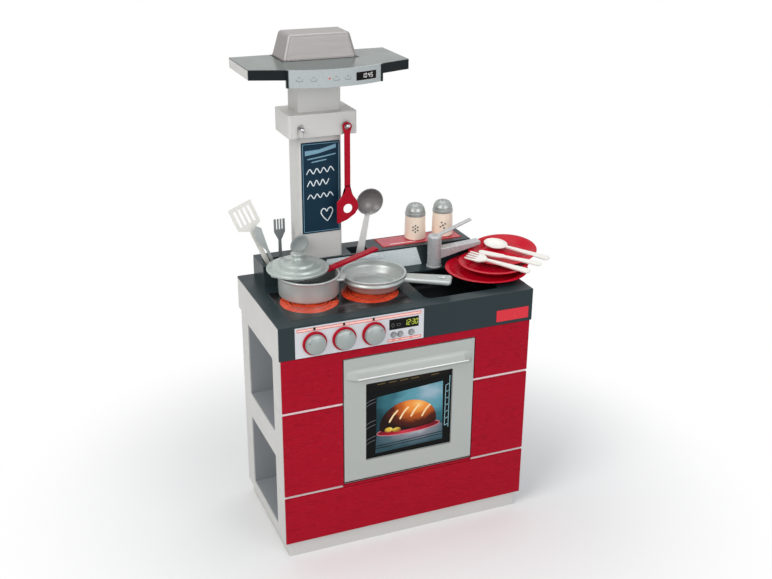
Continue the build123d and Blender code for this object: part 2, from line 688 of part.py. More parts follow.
def ledge_body():
    """Shell of the ledge with its sloping front, open above and below."""
    outer = side_profile([(LEDGE_FRONT_LOW, TOP_Z), (LEDGE_BACK, TOP_Z), (LEDGE_BACK, LEDGE_Z),
                          (LEDGE_FRONT_HIGH, LEDGE_Z)], LEDGE_LEFT, LEDGE_RIGHT)
    t = LEDGE_T
    slope = (LEDGE_FRONT_HIGH - LEDGE_FRONT_LOW) / LEDGE_H
    inner = side_profile([(LEDGE_FRONT_LOW + t - slope, TOP_Z - 1), (LEDGE_BACK - t, TOP_Z - 1),
                          (LEDGE_BACK - t, LEDGE_Z + 1), (LEDGE_FRONT_HIGH + t + slope, LEDGE_Z + 1)],
                         LEDGE_LEFT + t, LEDGE_RIGHT - t)
    body = outer - inner
    for x, y in screw_places():
        body += post(x, y, SCREW_BOSS_R, TOP_Z, TOP_Z + SCREW_LEN)
        body += block(x - t / 2, x + t / 2, y, LEDGE_BACK - t / 2, TOP_Z, TOP_Z + SCREW_LEN)
        body -= post(x, y, SCREW_R + DRILL, TOP_Z - 1, TOP_Z + SCREW_LEN + 1)
    return body


def screw_places():
    """Where the screws come up through the worktop into the ledge."""
    inset = SCREW_BOSS_R + LEDGE_T - 0.5
    columns = (LEDGE_LEFT + inset, -SCREW_MID, SCREW_MID, LEDGE_RIGHT - inset)
    return [(x, LEDGE_BACK - inset - SCREW_BACK) for x in columns]


def ledge_cover():
    """Slate lid of the ledge with two cups for utensils hanging from it."""
    sheet = block(LEDGE_LEFT, LEDGE_RIGHT, LEDGE_FRONT_HIGH - LEDGE_LIP, LEDGE_BACK, LEDGE_Z, LEDGE_TOP)
    sheet = chamfer(sheet.faces().sort_by(Axis.Z)[-1].edges(), COVER_T / 4)
    floor = LEDGE_TOP - CUP_DEPTH
    for x0, x1, y0, y1 in (SLOT_LEFT, SLOT_RIGHT):
        t = CUP_T
        sheet += block(x0 - t, x1 + t, y0 - t, y1 + t, floor - t, LEDGE_Z)
        sheet -= block(x0, x1, y0, y1, floor, LEDGE_TOP + 1)
    return sheet


def ledge_inlay():
    x0, x1, y0, y1 = INLAY
    plate = block(x0, x1, y0, y1, LEDGE_TOP, LEDGE_TOP + INLAY_T)
    return chamfer(plate.faces().sort_by(Axis.Z)[-1].edges(), INLAY_T / 2)


def screws():
    """Screws that hold the ledge to the worktop and the hood to the column."""
    pieces = []
    for x, y in screw_places():
        shaft = post(x, y, SCREW_R, FRAME_Z, TOP_Z + SCREW_LEN - 1)
        pieces.append(shaft + post(x, y, SCREW_HEAD_R, FRAME_Z - SCREW_HEAD_T, FRAME_Z))
    for x, y in hood_screw_places():
        deck = HOOD_SHEET_Z - SCREW_HEAD_T
        shaft = post(x, y, SCREW_R, deck - SCREW_LEN, deck)
        pieces.append(shaft + post(x, y, SCREW_HEAD_R, deck, HOOD_SHEET_Z))
    return Compound(children=pieces)


# ---------------------------------------------------------------- tower

def column_outline(grow, z0, z1):
    half = COLUMN_W / 2 + grow
    return soft_block(TOWER_X - half, TOWER_X + half, COLUMN_FRONT - grow, COLUMN_BACK + grow, z0, z1, COLUMN_R + grow)


def column():
    """Square tube from the ledge up into the hood, with screw bosses in its upper corners."""
    top = HOOD_SHEET_Z - HOOD_T
    body = column_outline(0.0, LEDGE_TOP, top) - column_outline(-COLUMN_T, LEDGE_TOP - 1, top + 1)
    for x, y in hood_screw_places():
        body += post(x, y, SCREW_BOSS_R, top - 2 * SCREW_LEN, top)
        body -= post(x, y, SCREW_R + DRILL, top - SCREW_LEN - 1, top + 1)
    return body


def hood_screw_places():
    reach = COLUMN_W / 2 - COLUMN_T - SCREW_BOSS_R + 0.8
    y0 = COLUMN_FRONT + COLUMN_T + SCREW_BOSS_R - 0.8
    y1 = COLUMN_BACK - COLUMN_T - SCREW_BOSS_R + 0.8
    return [(TOWER_X + s * reach, y) for s in (-1, 1) for y in (y0, y1)]


def hook_box():
    """Moulded box sleeved over the column, with an arched niche round each hook."""
    z0, z1 = BOX_Z
    half = BOX_W / 2
    box = soft_block(TOWER_X - half, TOWER_X + half, BOX_FRONT, BOX_BACK, z0, z1, BOX_R)
    box = fillet(box.faces().sort_by(Axis.Z)[-1].edges(), 1.5)
    t = COLUMN_T
    hollow = soft_block(TOWER_X - half + t, TOWER_X + half - t, BOX_FRONT + BOX_WALL, BOX_BACK - 1.2, z0 - 1, z1 - t,
                        BOX_R - t)
    box = box - (hollow - column_outline(t, z0 - 1, z1)) - column_outline(SLEEVE_GAP, z0 - 1, z1 + 1)
    for s in (-1, 1):
        x = TOWER_X + s * HOOK_SPREAD
        box -= arch(x, BOSS_R, BOX_FRONT - 1, BOX_FRONT + BOSS_OUT, z0 - 1)
        rim = arch(x, BOSS_R, BOX_FRONT - 0.8, BOX_FRONT + 1, z0) - arch(x, BOSS_R - 1.2, BOX_FRONT - 2, BOX_FRONT + 2, z0 - 1)
        box += rim
        box -= front_rod(x, HOOK_Z, PEG_R + DRILL, BOX_FRONT, BOX_FRONT + 2 * BOX_WALL)
    return box


def arch(x, radius, y0, y1, z0):
    """An upright arch: a half disc on a rectangle, from y0 back to y1."""
    return front_rod(x, HOOK_Z, radius, y0, y1) + block(x - radius, x + radius, y0, y1, z0, HOOK_Z)


def hook_pegs():
    """Two shiny pegs with ball heads."""
    pegs = []
    for s in (-1, 1):
        x = TOWER_X + s * HOOK_SPREAD
        tip = BOX_FRONT - PEG_OUT
        pegs.append(front_rod(x, HOOK_Z, PEG_R, tip, BOX_FRONT + BOX_WALL + 1.5) + Pos(x, tip, HOOK_Z) * Sphere(BALL_R))
    return Compound(children=pegs)


def chalkboard():
    z0, z1 = BOARD_Z
    half = BOARD_W / 2
    board = block(TOWER_X - half, TOWER_X + half, COLUMN_FRONT - BOARD_T, COLUMN_FRONT, z0, z1)
    board = fillet(board.edges().filter_by(Axis.Y), 2.0)
    return chamfer(board.faces().sort_by(Axis.Y)[0].edges(), 0.4)


# ---------------------------------------------------------------- hood

def hood_outline(shift, z0, z1):
    """Plan of the hood; its front edge is moved back by shift."""
    half = HOOD_SPAN / 2
    mid = STRIP_W / 2
    side_y = STRIP_SIDE + STRIP_T + shift
    mid_y = STRIP_MID + STRIP_T + shift
    edge = Polyline((mid, side_y), (half, WING_CORNER + shift), (half, HOOD_BACK), (-half, HOOD_BACK),
                    (-half, WING_CORNER + shift), (-mid, side_y))
    bow = ThreePointArc((-mid, side_y), (0, mid_y), (mid, side_y))
    return Pos(TOWER_X, 0, z0) * extrude(make_face(edge + bow), z1 - z0)


def canopy():
    """Light-grey body of the hood: a deck with walls round it, open below."""
    z0, z1 = HOOD_Z[0], HOOD_SHEET_Z
    body = hood_outline(HOOD_T, z0, z1)
    inner = HOOD_SPAN / 2 - HOOD_T
    hollow = hood_outline(2 * HOOD_T, z0 - 1, z1 - HOOD_T)
    room = block(TOWER_X - inner, TOWER_X + inner, STRIP_MID, HOOD_BACK - HOOD_T, z0 - 1, z1 - HOOD_T)
    body -= hollow & room
    body -= column_outline(SLEEVE_GAP, z0 - 1, z1 - HOOD_T)
    for x, y in hood_screw_places():
        body -= post(x, y, SCREW_R + DRILL, z0, z1)
        body -= post(x, y, SCREW_HEAD_R + DRILL, z1 - SCREW_HEAD_T, z1 + 1)
    return body


def canopy_cover():
    """Slate sheet over the hood with a lip along its front and the dark ends of the strip."""
    z1 = HOOD_Z[1]
    body = hood_outline(0.0, HOOD_Z[0], z1) - hood_outline(HOOD_T, HOOD_Z[0] - 1, HOOD_SHEET_Z)
    mid = STRIP_W / 2
    for s in (-1, 1):
        x = TOWER_X + s * (mid + END_CAP_T / 2)
        body += block(x - END_CAP_T / 2, x + END_CAP_T / 2, STRIP_SIDE - 1, STRIP_SIDE + END_CAP_D, STRIP_LOW, z1)
    return body


def hood_strip():
    """Bowed silver strip in the middle of the hood's front."""
    mid = STRIP_W / 2
    back = STRIP_SIDE + STRIP_T
    front = ThreePointArc((-mid, STRIP_SIDE), (0, STRIP_MID), (mid, STRIP_SIDE))
    rear = ThreePointArc((mid, back), (0, STRIP_MID + STRIP_T), (-mid, back))
    edge = front + Line((mid, STRIP_SIDE), (mid, back)) + rear + Line((-mid, back), (-mid, STRIP_SIDE))
    return Pos(TOWER_X, 0, STRIP_LOW) * extrude(make_face(edge), HOOD_Z[1] - STRIP_LOW)


def chimney():
    """Steel hood top: a tapering rounded box over a flat collar, open below."""
    z0 = HOOD_Z[1]
    at = Pos(TOWER_X, CHIMNEY_Y, z0)
    collar_w, collar_d = CHIMNEY_BASE[0] + 2 * CHIMNEY_LAP, CHIMNEY_BASE[1] + 2 * CHIMNEY_LAP
    collar = at * extrude(RectangleRounded(collar_w, collar_d, CHIMNEY_R + CHIMNEY_LAP), CHIMNEY_LIP)
    hull = frustum(0.0)
    hull = fillet(hull.faces().sort_by(Axis.Z)[-1].edges(), CHIMNEY_R)
    body = collar + at * Pos(0, 0, CHIMNEY_LIP) * hull
    inner = frustum(-CHIMNEY_T)
    return body - at * Pos(0, 0, -CHIMNEY_T) * inner - at * block(-40, 40, -20, 20, -1, CHIMNEY_LIP + 1)


def frustum(grow):
    """The chimney's tapering form with every side moved out by grow."""
    base = Rectangle(CHIMNEY_BASE[0] + 2 * grow, CHIMNEY_BASE[1] + 2 * grow)
    top = Pos(0, 0, CHIMNEY_H - CHIMNEY_LIP) * Rectangle(CHIMNEY_TOP[0] + 2 * grow, CHIMNEY_TOP[1] + 2 * grow)
    solid = loft([base, top])
    slanted = [e for e in solid.edges() if abs(e.position_at(0).Z - e.position_at(1).Z) > 1]
    return fillet(slanted, CHIMNEY_R)


# ---------------------------------------------------------------- tap

def tap_base():
    body = post(TAP_X, TAP_Y, TAP_BASE_R, TOP_Z, TOP_Z + TAP_BASE_H)
    body = chamfer(body.edges().sort_by(Axis.Z)[-1], 1.0)
    return body + post(TAP_X, TAP_Y, TAP_PIN_R, TOP_Z + TAP_BASE_H, TAP_SPLIT - 2 * TAP_GAP - 2)


def tap_spout():
    """Sleeve that turns on the base, with the spout growing out of it."""
    z0 = TOP_Z + TAP_BASE_H + TAP_GAP
    body = post(0, 0, TAP_R, z0, TAP_SPLIT)
    arm = Plane.XZ * make_face(Polyline((0, SPOUT_ROOT[0]), (SPOUT_LEN, SPOUT_TIP[0]), (SPOUT_LEN, SPOUT_TIP[1]),
                                        (0, SPOUT_ROOT[1]), close=True))
    spout = Pos(0, SPOUT_W / 2, 0) * extrude(arm, SPOUT_W)
    spout = fillet(spout.edges().filter_by(Axis.Y).group_by(Axis.X)[-1], 2.5)
    ends = [e for e in spout.edges().filter_by(GeomType.LINE) if e.length > SPOUT_LEN / 2]
    body = body + fillet(ends, 1.8) + post(0, 0, TAP_PIN_R, TAP_SPLIT, TAP_TOP - 4)
    body -= post(0, 0, TAP_PIN_R + PIN_GAP, z0 - 1, TAP_SPLIT - 2 * TAP_GAP - 1.7)
    outlet = post(SPOUT_LEN - 9, 0, 4.0, SPOUT_TIP[0] - 3, SPOUT_TIP[0] + 2)
    return Pos(TAP_X, TAP_Y, 0) * (body - outlet)


def tap_lever():
    """Domed cap with the lever bar rising from it."""
    z0 = TAP_SPLIT + TAP_GAP
    cap = post(0, 0, TAP_R, z0, TAP_TOP)
    cap = fillet(cap.edges().sort_by(Axis.Z)[-1], 4.0)
    tilt = degrees(atan2(LEVER_RISE, LEVER_LEN))
    length = hypot(LEVER_RISE, LEVER_LEN)
    bar = block(0, length, -LEVER_W / 2, LEVER_W / 2, -LEVER_T / 2, LEVER_T / 2)
    bar = fillet(bar.edges().filter_by(Axis.Z).group_by(Axis.X)[-1], 2.0)
    bar = fillet(bar.edges().filter_by(Axis.X), 1.2)
    body = cap + Pos(0, 0, TAP_TOP - 4) * Rot(0, -tilt, 0) * bar
    body -= post(0, 0, TAP_PIN_R + PIN_GAP, z0 - 1, TAP_TOP - 3.7)
    return Pos(TAP_X, TAP_Y, 0) * body


# ---------------------------------------------------------------- pots

def hob_z():
    """Height at which dishes stand on the hob plate."""
    return TOP_Z - HOB_SUNK + HOB_T + SEAT


def pot():
    """Straight pot with a rolled rim and two loop-like ears."""
    z0 = hob_z()
    t = POT_T
    r0, r1, h = POT_BASE_R, POT_R, POT_H
    skin = r1 - 1.6
    wall = [(0, 0), (r0 - 3, 0), (r0 - 0.8, 0.8), (r0, 3), (skin, h - 3), (r1, h - 2.4), (r1, h - 0.6),
            (r1 - 0.6, h), (skin - t + 0.6, h), (skin - t, h - 0.8), (r0 - t, 3.5), (r0 - t - 1.5, t), (0, t)]
    body = turned(wall, POT[0], POT[1], z0)
    z1 = z0 + h
    for s in (-1, 1):
        reach = r1 + EAR_OUT
        ear = block(r1 - 6, reach, -EAR_W / 2, EAR_W / 2, -EAR_T, 0)
        ear = fillet(ear.edges().filter_by(Axis.Z).sort_by(Axis.X)[-2:], EAR_W / 3)
        ear = Rot(0, 0, 0 if s > 0 else 180) * ear
        body += Pos(POT[0], POT[1], z1 - EAR_DROP) * ear - post(POT[0], POT[1], skin - t + 0.5, z0, z1 + 1)
    return body


def pot_lid():
    """Domed lid with a stepped rim and a flared knob."""
    t, r, h = LID_T, LID_R, LID_RISE
    step = r - 9
    k, kh = LID_KNOB_R, LID_KNOB_H
    wall = [(0, h - t), (step * 0.6, h - t - 1.5), (step - 2, 3), (step, 0.6), (r - 1, 0), (r, 0.8), (r - 1, t),
            (step + 0.6, t + 0.8), (step - 1.2, 4.6), (step * 0.62, h + 0.2), (k * 1.3, h + 0.8), (k * 0.75, h + 3),
            (k * 0.68, h + kh - 3), (k * 0.75, h + kh - 1), (k * 0.6, h + kh), (0, h + kh + 0.3)]
    z0 = hob_z() + POT_H + SEAT
    return turned(wall, POT[0] + LID_SHIFT[0], POT[1] + LID_SHIFT[1], z0)


def pot_spoon():
    """Red cooking spoon: flat handle over the rim and a cranked bowl inside the pot."""
    neck, start, end = SPOON_NECK, SPOON_BEND, SPOON_END
    long = length_of((start, end))
    handle = block(-2, long, -SPOON_W / 2, SPOON_W / 2, -SPOON_T / 2, SPOON_T / 2)
    handle = fillet(handle.edges().filter_by(Axis.X), 1.5)
    body = laid(handle, start, end, (0, 0, 1))
    shank = block(-2, length_of((neck, start)), -SPOON_W / 3, SPOON_W / 3, -SPOON_T / 2, SPOON_T / 2)
    body += laid(shank, neck, start, (0, 0, 1))
    away = Vector(neck[0] - start[0], neck[1] - start[1], 0).normalized()
    middle = Vector(*neck) + away * (SPOON_BOWL_R - 1.5)
    return body + Pos(*middle) * bowl(SPOON_BOWL_R, SPOON_BOWL_R / 2, POT_T)


def bowl(radius, depth, wall):
    """A hollow cap of a sphere, open upwards, its rim's centre at the origin."""
    sphere = (radius ** 2 + depth ** 2) / (2 * depth)
    outer = Pos(0, 0, sphere - depth) * Sphere(sphere)
    inner = Pos(0, 0, sphere - depth) * Sphere(sphere - wall)
    return (outer - inner) & Pos(0, 0, -depth / 2) * Cylinder(sphere, depth)


def pan():
    """Frying pan with a rolled rim and a flat handle with a hanging hole."""
    t = PAN_T
    r0, r1, h = PAN_BASE_R, PAN_R, PAN_H
    wall = [(0, 0), (r0 - 2, 0), (r0 + 2, 1.2), (r0 + 5, 4), (r1 - 3, h - 6), (r1, h - 4), (r1 + 0.6, h - 2),
            (r1, h), (r1 - 2.4, h + 0.4), (r1 - 4, h - 2), (r1 - 5.6, h - 6), (r0 + 3, 5), (r0, t + 1), (r0 - 3, t), (0, t)]
    z0 = hob_z()
    body = turned(wall, 0, 0, z0)
    reach = r1 + PAN_HANDLE_LEN
    root, tip = PAN_HANDLE_W * 0.42, PAN_HANDLE_W / 2
    outline = Polyline((r1 - 3, -root), (reach - tip, -tip), (reach - tip, tip), (r1 - 3, root), close=True)
    bar = make_face(outline) + Pos(reach - tip, 0) * Circle(tip)
    z1 = z0 + h - PAN_HANDLE_DROP
    grip = Pos(0, 0, z1 - PAN_HANDLE_T) * extrude(bar, PAN_HANDLE_T)
    grip = fillet(grip.faces().sort_by(Axis.Z)[-1].edges() + grip.faces().sort_by(Axis.Z)[0].edges(), 2.5)
    grip -= turned([(0, 0), (r1 - 2.2, 0), (r1 - 2.2, h), (0, h)], 0, 0, z0)
    hole = SlotOverall(PAN_HOLE[0], PAN_HOLE[1])
    grip -= Pos(reach - tip - 2, 0, z1 - PAN_HANDLE_T - 1) * extrude(hole, PAN_HANDLE_T + 2)
    return Pos(PAN[0], PAN[1], 0) * Rot(0, 0, PAN_HANDLE_TURN) * (body + grip)


# ---------------------------------------------------------------- plates and cutlery

def dish(radius, height):
    """A plate: flat base, sloping side and a flat rim."""
    base = radius * PLATE_BASE
    t = DISH_T
    brim = radius - DISH_RIM
    wall = [(0, 0), (base - 1, 0), (base, 0.5), (brim, height - t), (radius - 0.5, height - t + 0.6),
            (radius, height - 0.4), (radius - 0.6, height), (brim - 0.8, height - 0.2), (base + 0.5, t + 0.6),
            (base - 1.5, t), (0, t)]
    return turned(wall)


def plate_1():
    x, y, r, h = PLATE_ONE
    return Pos(x, y, TOP_Z + SEAT) * dish(r, h)


def plate_2():
    x, y, r, h = PLATE_TWO
    return Pos(x, y, PLATE_TWO_Z) * dish(r, h)


def plate_3():
    """The top plate lies askew on the second one's rim."""
    x, y, r, h = PLATE_THREE
    lean = radians(PLATE_LEAN)
    way = radians(PLATE_LEAN_WAY)
    normal = Vector(-sin(lean) * cos(way), -sin(lean) * sin(way), cos(lean))
    origin = Vector(x, y, PLATE_THREE_Z) - normal * h
    return Plane(origin=origin, x_dir=(cos(way), sin(way), sin(lean) / cos(lean)), z_dir=normal).location * dish(r, h)


def outline_bar(points, thick):
    """Flat piece along +X: the outline's upper half as (x, half width), mirrored and extruded."""
    lower = [(x, -w) for x, w in reversed(points)]
    face = make_face(Polyline(*points, *lower, close=True))
    return Pos(0, 0, -thick / 2) * extrude(face, thick)


def fork_blank(length, thick, handle, head, head_len, tines):
    """A fork along +X, tines at the origin."""
    neck = handle * 0.36
    body = outline_bar([(0, head / 2), (head_len * 0.62, head / 2), (head_len, neck), (head_len * 1.3, neck),
                        (length - 3, handle / 2), (length, handle / 2 - 3)], thick)
    pitch = head / tines
    slot = pitch * 0.45
    for k in range(1, tines):
        y = -head / 2 + k * pitch
        body -= block(-1, head_len * 0.5, y - slot / 2, y + slot / 2, -thick, thick)
    return body


def knife_blank(length, thick, handle, blade, blade_len):
    """A knife along +X, its rounded point at the origin."""
    edge = make_face(Spline((0, -blade * 0.1), (blade * 0.45, -blade * 0.52), (blade_len * 0.7, -blade * 0.55),
                            (blade_len, -handle * 0.3))
                     + Polyline((blade_len, -handle * 0.3), (blade_len, handle * 0.3), (blade * 0.5, blade * 0.4),
                                (0, -blade * 0.1)))
    body = Pos(0, 0, -thick / 2) * extrude(edge, thick)
    return body + outline_bar([(blade_len - 1, handle * 0.3), (length - 3, handle / 2), (length, handle / 2 - 3)], thick)


def spoon_blank(length, thick, handle, bowl_w, bowl_len):
    """A spoon along +X, the bowl's far end at the origin, open towards +Z."""
    depth = bowl_w * 0.2
    cup = bowl(bowl_w / 2, depth, thick * 0.8)
    cup = scale(cup, by=(bowl_len / bowl_w, 1, 1))
    body = Pos(bowl_len / 2, 0, 0) * cup
    start = bowl_len - 2.0
    grip = outline_bar([(start, handle * 0.36), (start + 8, handle * 0.36), (length - 3, handle / 2),
                        (length, handle / 2 - 3)], thick)
    return body + Pos(0, 0, -thick / 2) * grip


def cutlery_fork():
    start, end = FORK_ON_PLATE
    return laid(fork_blank(length_of(FORK_ON_PLATE), CUTLERY_T, CUTLERY_W, 24.0, 42.0, 4), start, end, (0, 0, 1))


def cutlery_knife():
    start, end = KNIFE_ON_PLATE
    return laid(knife_blank(length_of(KNIFE_ON_PLATE), CUTLERY_T, CUTLERY_W, 14.0, 52.0), start, end, (0, 0, 1))


def cutlery_spoon():
    start, end = SPOON_ON_PLATE
    return laid(spoon_blank(length_of(SPOON_ON_PLATE), CUTLERY_T, CUTLERY_W, 32.0, 46.0), start, end, (0, 0, 1))


# ---------------------------------------------------------------- shakers

def shaker(x):
    """Body of a shaker, slightly waisted, closed below."""
    r, h = SHAKER_R, SHAKER_BODY_H
    wall = [(0, 0), (r - 1.5, 0), (r, 1.5), (r - 1.4, h - 1), (r - 2, h), (r - 3.4, h), (r - 3.4, 2), (0, 2)]
    return turned(wall, x, SHAKER_Y, LEDGE_TOP + INLAY_T + SEAT)


def shaker_cap(x):
    """Silver dome of a shaker with its sprinkling holes."""
    r = SHAKER_R - 0.9
    h = SHAKER_H - SHAKER_BODY_H
    z0 = LEDGE_TOP + INLAY_T + SEAT + SHAKER_BODY_H
    wall = [(0, h - 1.6), (r * 0.5, h - 3.4), (r - 4, h * 0.55), (r - 1.8, 0), (r, 0), (r, 5), (r - 1, 5.6),
            (r - 1.4, h * 0.45), (r - 3.2, h * 0.66), (r * 0.66, h * 0.86), (r * 0.35, h * 0.97), (0, h)]
    dome = turned(wall, 0, 0, 0)
    for k in range(SHAKER_HOLES):
        a = radians(360 / SHAKER_HOLES * k)
        dome -= post(SHAKER_HOLE_RING * cos(a), SHAKER_HOLE_RING * sin(a), SHAKER_HOLE_R, 0, h + 1)
    dome -= post(0, 0, SHAKER_HOLE_R, 0, h + 1)
    return Pos(x, SHAKER_Y, z0) * dome


# ---------------------------------------------------------------- hanging and standing utensils

def corner_spoon():
    """Red corner spoon that hangs on the right hook."""
    x = TOWER_X + HOOK_SPREAD
    t = HANG_T / 2
    y0 = BOX_FRONT - HANG_OUT
    handle = outline_bar([(0, HANG_EYE), (12, HANG_W / 2), (HANG_LEN * 0.7, HANG_W / 2)], HANG_T)
    handle += Pos(0, 0, -t) * extrude(Circle(HANG_EYE), HANG_T)
    head = make_face(Spline((HANG_LEN * 0.68, HANG_W / 2), (HANG_LEN * 0.8, 21), (HANG_LEN - 22, 24),
                            (HANG_LEN - 6, 19), (HANG_LEN, 14))
                     + Polyline((HANG_LEN, 14), (HANG_LEN - 4, -18), (HANG_LEN - 16, -23))
                     + Spline((HANG_LEN - 16, -23), (HANG_LEN * 0.82, -19), (HANG_LEN * 0.68, -HANG_W / 2))
                     + Line((HANG_LEN * 0.68, -HANG_W / 2), (HANG_LEN * 0.68, HANG_W / 2)))
    body = handle + Pos(0, 0, -t) * extrude(head, HANG_T)
    body -= Pos(HANG_LEN - 24, 0, -HANG_T) * extrude(Circle(HANG_HOLE_R), 2 * HANG_T)
    eye = BALL_R + HANG_PLAY
    body -= Pos(0, 0, -HANG_T) * extrude(Circle(eye), 2 * HANG_T)
    z = HOOK_Z + PEG_R + SEAT - eye
    return laid(body, (x, y0, z), (x, y0, z - 1), (0, -1, 0))


def turner():
    start, end = TURNER
    long = length_of(TURNER)
    head, wide = TURNER_HEAD
    body = outline_bar([(0, 2), (3, TURNER_GRIP / 2), (long - head - 8, TURNER_GRIP / 2), (long - head, wide / 2 - 2),
                        (long - head + 3, wide / 2), (long, wide / 2)], UTENSIL_T)
    pitch = wide / 5
    for k in range(4):
        y = (k - 1.5) * pitch
        slot = block(long - head + 6, long - 7, y - pitch / 4, y + pitch / 4, -UTENSIL_T, UTENSIL_T)
        body -= slot
    return laid(body, start, end, (0, -1, 0))


def table_knife():
    end, start = TABLE_KNIFE
    return laid(knife_blank(length_of(TABLE_KNIFE), UTENSIL_T, 8.0, 15.0, 52.0), start, end, (0, -1, 0))


def table_fork():
    end, start = TABLE_FORK
    return laid(fork_blank(length_of(TABLE_FORK), UTENSIL_T, 8.0, 21.0, 40.0, 4), start, end, (0, -1, 0))


def table_spoon():
    end, start = TABLE_SPOON
    return laid(spoon_blank(length_of(TABLE_SPOON), UTENSIL_T, 8.0, 33.0, 46.0), start, end, (0, -1, 0.3))


def ladle():
    """Ladle: pale flat handle and a metallic bowl."""
    start, end = LADLE
    long = length_of(LADLE)
    grip = outline_bar([(0, 6), (30, 7), (long - LADLE_R, 4.5), (long - LADLE_R + 6, 4.5)], LADLE_GRIP_T)
    cup = Pos(long, 0, 0) * bowl(LADLE_R, LADLE_R * 0.55, LADLE_T)
    return laid(grip + cup, start, end, (0, -1, 0.25))


# ---------------------------------------------------------------- pieces

PIECES = {
    "base_plinth": base_plinth,
    "tier_lower": tier_lower,
    "tier_middle": tier_middle,
    "tier_upper": tier_upper,
    "shelf_insert": shelf_insert,
    "front_upper": front_upper,
    "front_middle": front_middle,
    "front_lower": front_lower,
    "oven_liner": oven_liner,
    "oven_shelf": oven_shelf,
    "door_frame": door_frame,
    "door_window": door_window,
    "hinge_pins": hinge_pins,
    "worktop_frame": worktop_frame,
    "worktop_cover": worktop_cover,
    "hob_plate": hob_plate,
    "sink_basin": sink_basin,
    "control_panel": control_panel,
    "knob_collars": knob_collars,
    "knob_left": lambda: knob(KNOB_X[0], KNOB_TURNED[0]),
    "knob_middle": lambda: knob(KNOB_X[1], KNOB_TURNED[1]),
    "knob_right": lambda: knob(KNOB_X[2], KNOB_TURNED[2]),
    "button_left": lambda: button(BUTTON_X[0]),
    "button_middle": lambda: button(BUTTON_X[1]),
    "button_right": lambda: button(BUTTON_X[2]),
    "ledge_body": ledge_body,
    "ledge_cover": ledge_cover,
    "ledge_inlay": ledge_inlay,
    "screws": screws,
    "column": column,
    "hook_box": hook_box,
    "hook_pegs": hook_pegs,
    "chalkboard": chalkboard,
    "canopy": canopy,
    "canopy_cover": canopy_cover,
    "hood_strip": hood_strip,
    "chimney": chimney,
    "tap_base": tap_base,
    "tap_spout": tap_spout,
    "tap_lever": tap_lever,
    "pot": pot,
    "pot_lid": pot_lid,
    "pot_spoon": pot_spoon,
    "pan": pan,
    "plate_1": plate_1,
    "plate_2": plate_2,
    "plate_3": plate_3,
    "cutlery_fork": cutlery_fork,
    "cutlery_knife": cutlery_knife,
    "cutlery_spoon": cutlery_spoon,
    "shaker_left": lambda: shaker(SHAKER_X[0]),
    "shaker_left_cap": lambda: shaker_cap(SHAKER_X[0]),
    "shaker_right": lambda: shaker(SHAKER_X[1]),
    "shaker_right_cap": lambda: shaker_cap(SHAKER_X[1]),
    "corner_spoon": corner_spoon,
    "turner": turner,
    "table_knife": table_knife,
    "table_fork": table_fork,
    "table_spoon": table_spoon,
    "ladle": ladle,
}


def main():
    os.makedirs("parts", exist_ok=True)
    for name, make in PIECES.items():
        solid = make()
        solid.label = name
        export_step(solid, f"parts/{name}.step")


main()
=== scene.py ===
import math

import bmesh
import bpy
from mathutils import Matrix, Vector
from mathutils.bvhtree import BVHTree


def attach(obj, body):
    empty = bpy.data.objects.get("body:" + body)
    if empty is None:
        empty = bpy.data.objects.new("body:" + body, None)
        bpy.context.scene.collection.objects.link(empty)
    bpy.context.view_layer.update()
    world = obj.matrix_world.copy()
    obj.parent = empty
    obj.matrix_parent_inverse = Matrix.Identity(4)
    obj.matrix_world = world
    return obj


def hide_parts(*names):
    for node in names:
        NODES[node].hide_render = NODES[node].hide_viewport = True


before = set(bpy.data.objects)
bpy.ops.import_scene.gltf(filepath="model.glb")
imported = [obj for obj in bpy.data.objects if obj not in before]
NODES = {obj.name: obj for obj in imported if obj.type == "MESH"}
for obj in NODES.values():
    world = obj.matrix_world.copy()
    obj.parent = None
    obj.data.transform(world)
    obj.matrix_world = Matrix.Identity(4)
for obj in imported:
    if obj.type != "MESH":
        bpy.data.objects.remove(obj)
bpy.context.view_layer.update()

MM = 0.001

# ---------- places, in millimetres as in the CAD

TOWER_X = -95.0
PANEL_Y = -131.2  # face of the control panel
BOARD_Y = 70.0  # face of the chalkboard
PANE_Y = -126.0  # face of the oven's pane
FRONT_Y = -130.0  # face of the worktop's skirt
KNOB_X = (-181.0, -127.0, -72.0)  # left, middle and right
KNOB_Z = 431.0
BUTTON_X = (-34.0, -21.5, 0.0)
HOB_Z = 467.4
BURNERS = ((-158.0, -36.0), (-41.0, -34.0))
INLAY_Z = 504.8
CANOPY_TOP_Z = 876.0
GROOVE_Y = -126.6  # ground of the grooves between the red fronts
SHAKER_X = (112.0, 171.0)
SHAKER_Y = 110.0
SHAKER_R = 20.0  # radius at which the shakers' dots are laid out
STRIP_R = 200.36  # radius of the hood strip's bow
STRIP_CENTRE_Y = 170.36
LEDGE_FOOT = (60.0, 467.0)  # y and z where the ledge's sloping front starts
LEDGE_SLOPE = (8.0, 35.0)  # its run and rise


# ---------- camera

CAMERA_AT = (-0.7201, -1.7408, 1.2326)
CAMERA_RIGHT = (0.92417, -0.38192, 0.00723)
CAMERA_UP = (0.13996, 0.35617, 0.92388)
CAMERA_BACK = (-0.35542, -0.85281, 0.38261)
CAMERA_LENS = 50.90


def make_camera():
    data = bpy.data.cameras.new("camera")
    data.sensor_width = 36.0
    data.lens = CAMERA_LENS
    data.clip_start = 0.05
    data.clip_end = 60.0
    cam = bpy.data.objects.new("camera", data)
    bpy.context.scene.collection.objects.link(cam)
    turn = Matrix((CAMERA_RIGHT, CAMERA_UP, CAMERA_BACK)).transposed().to_4x4()
    cam.matrix_world = Matrix.Translation(CAMERA_AT) @ turn
    bpy.context.scene.camera = cam


make_camera()


# ---------- materials

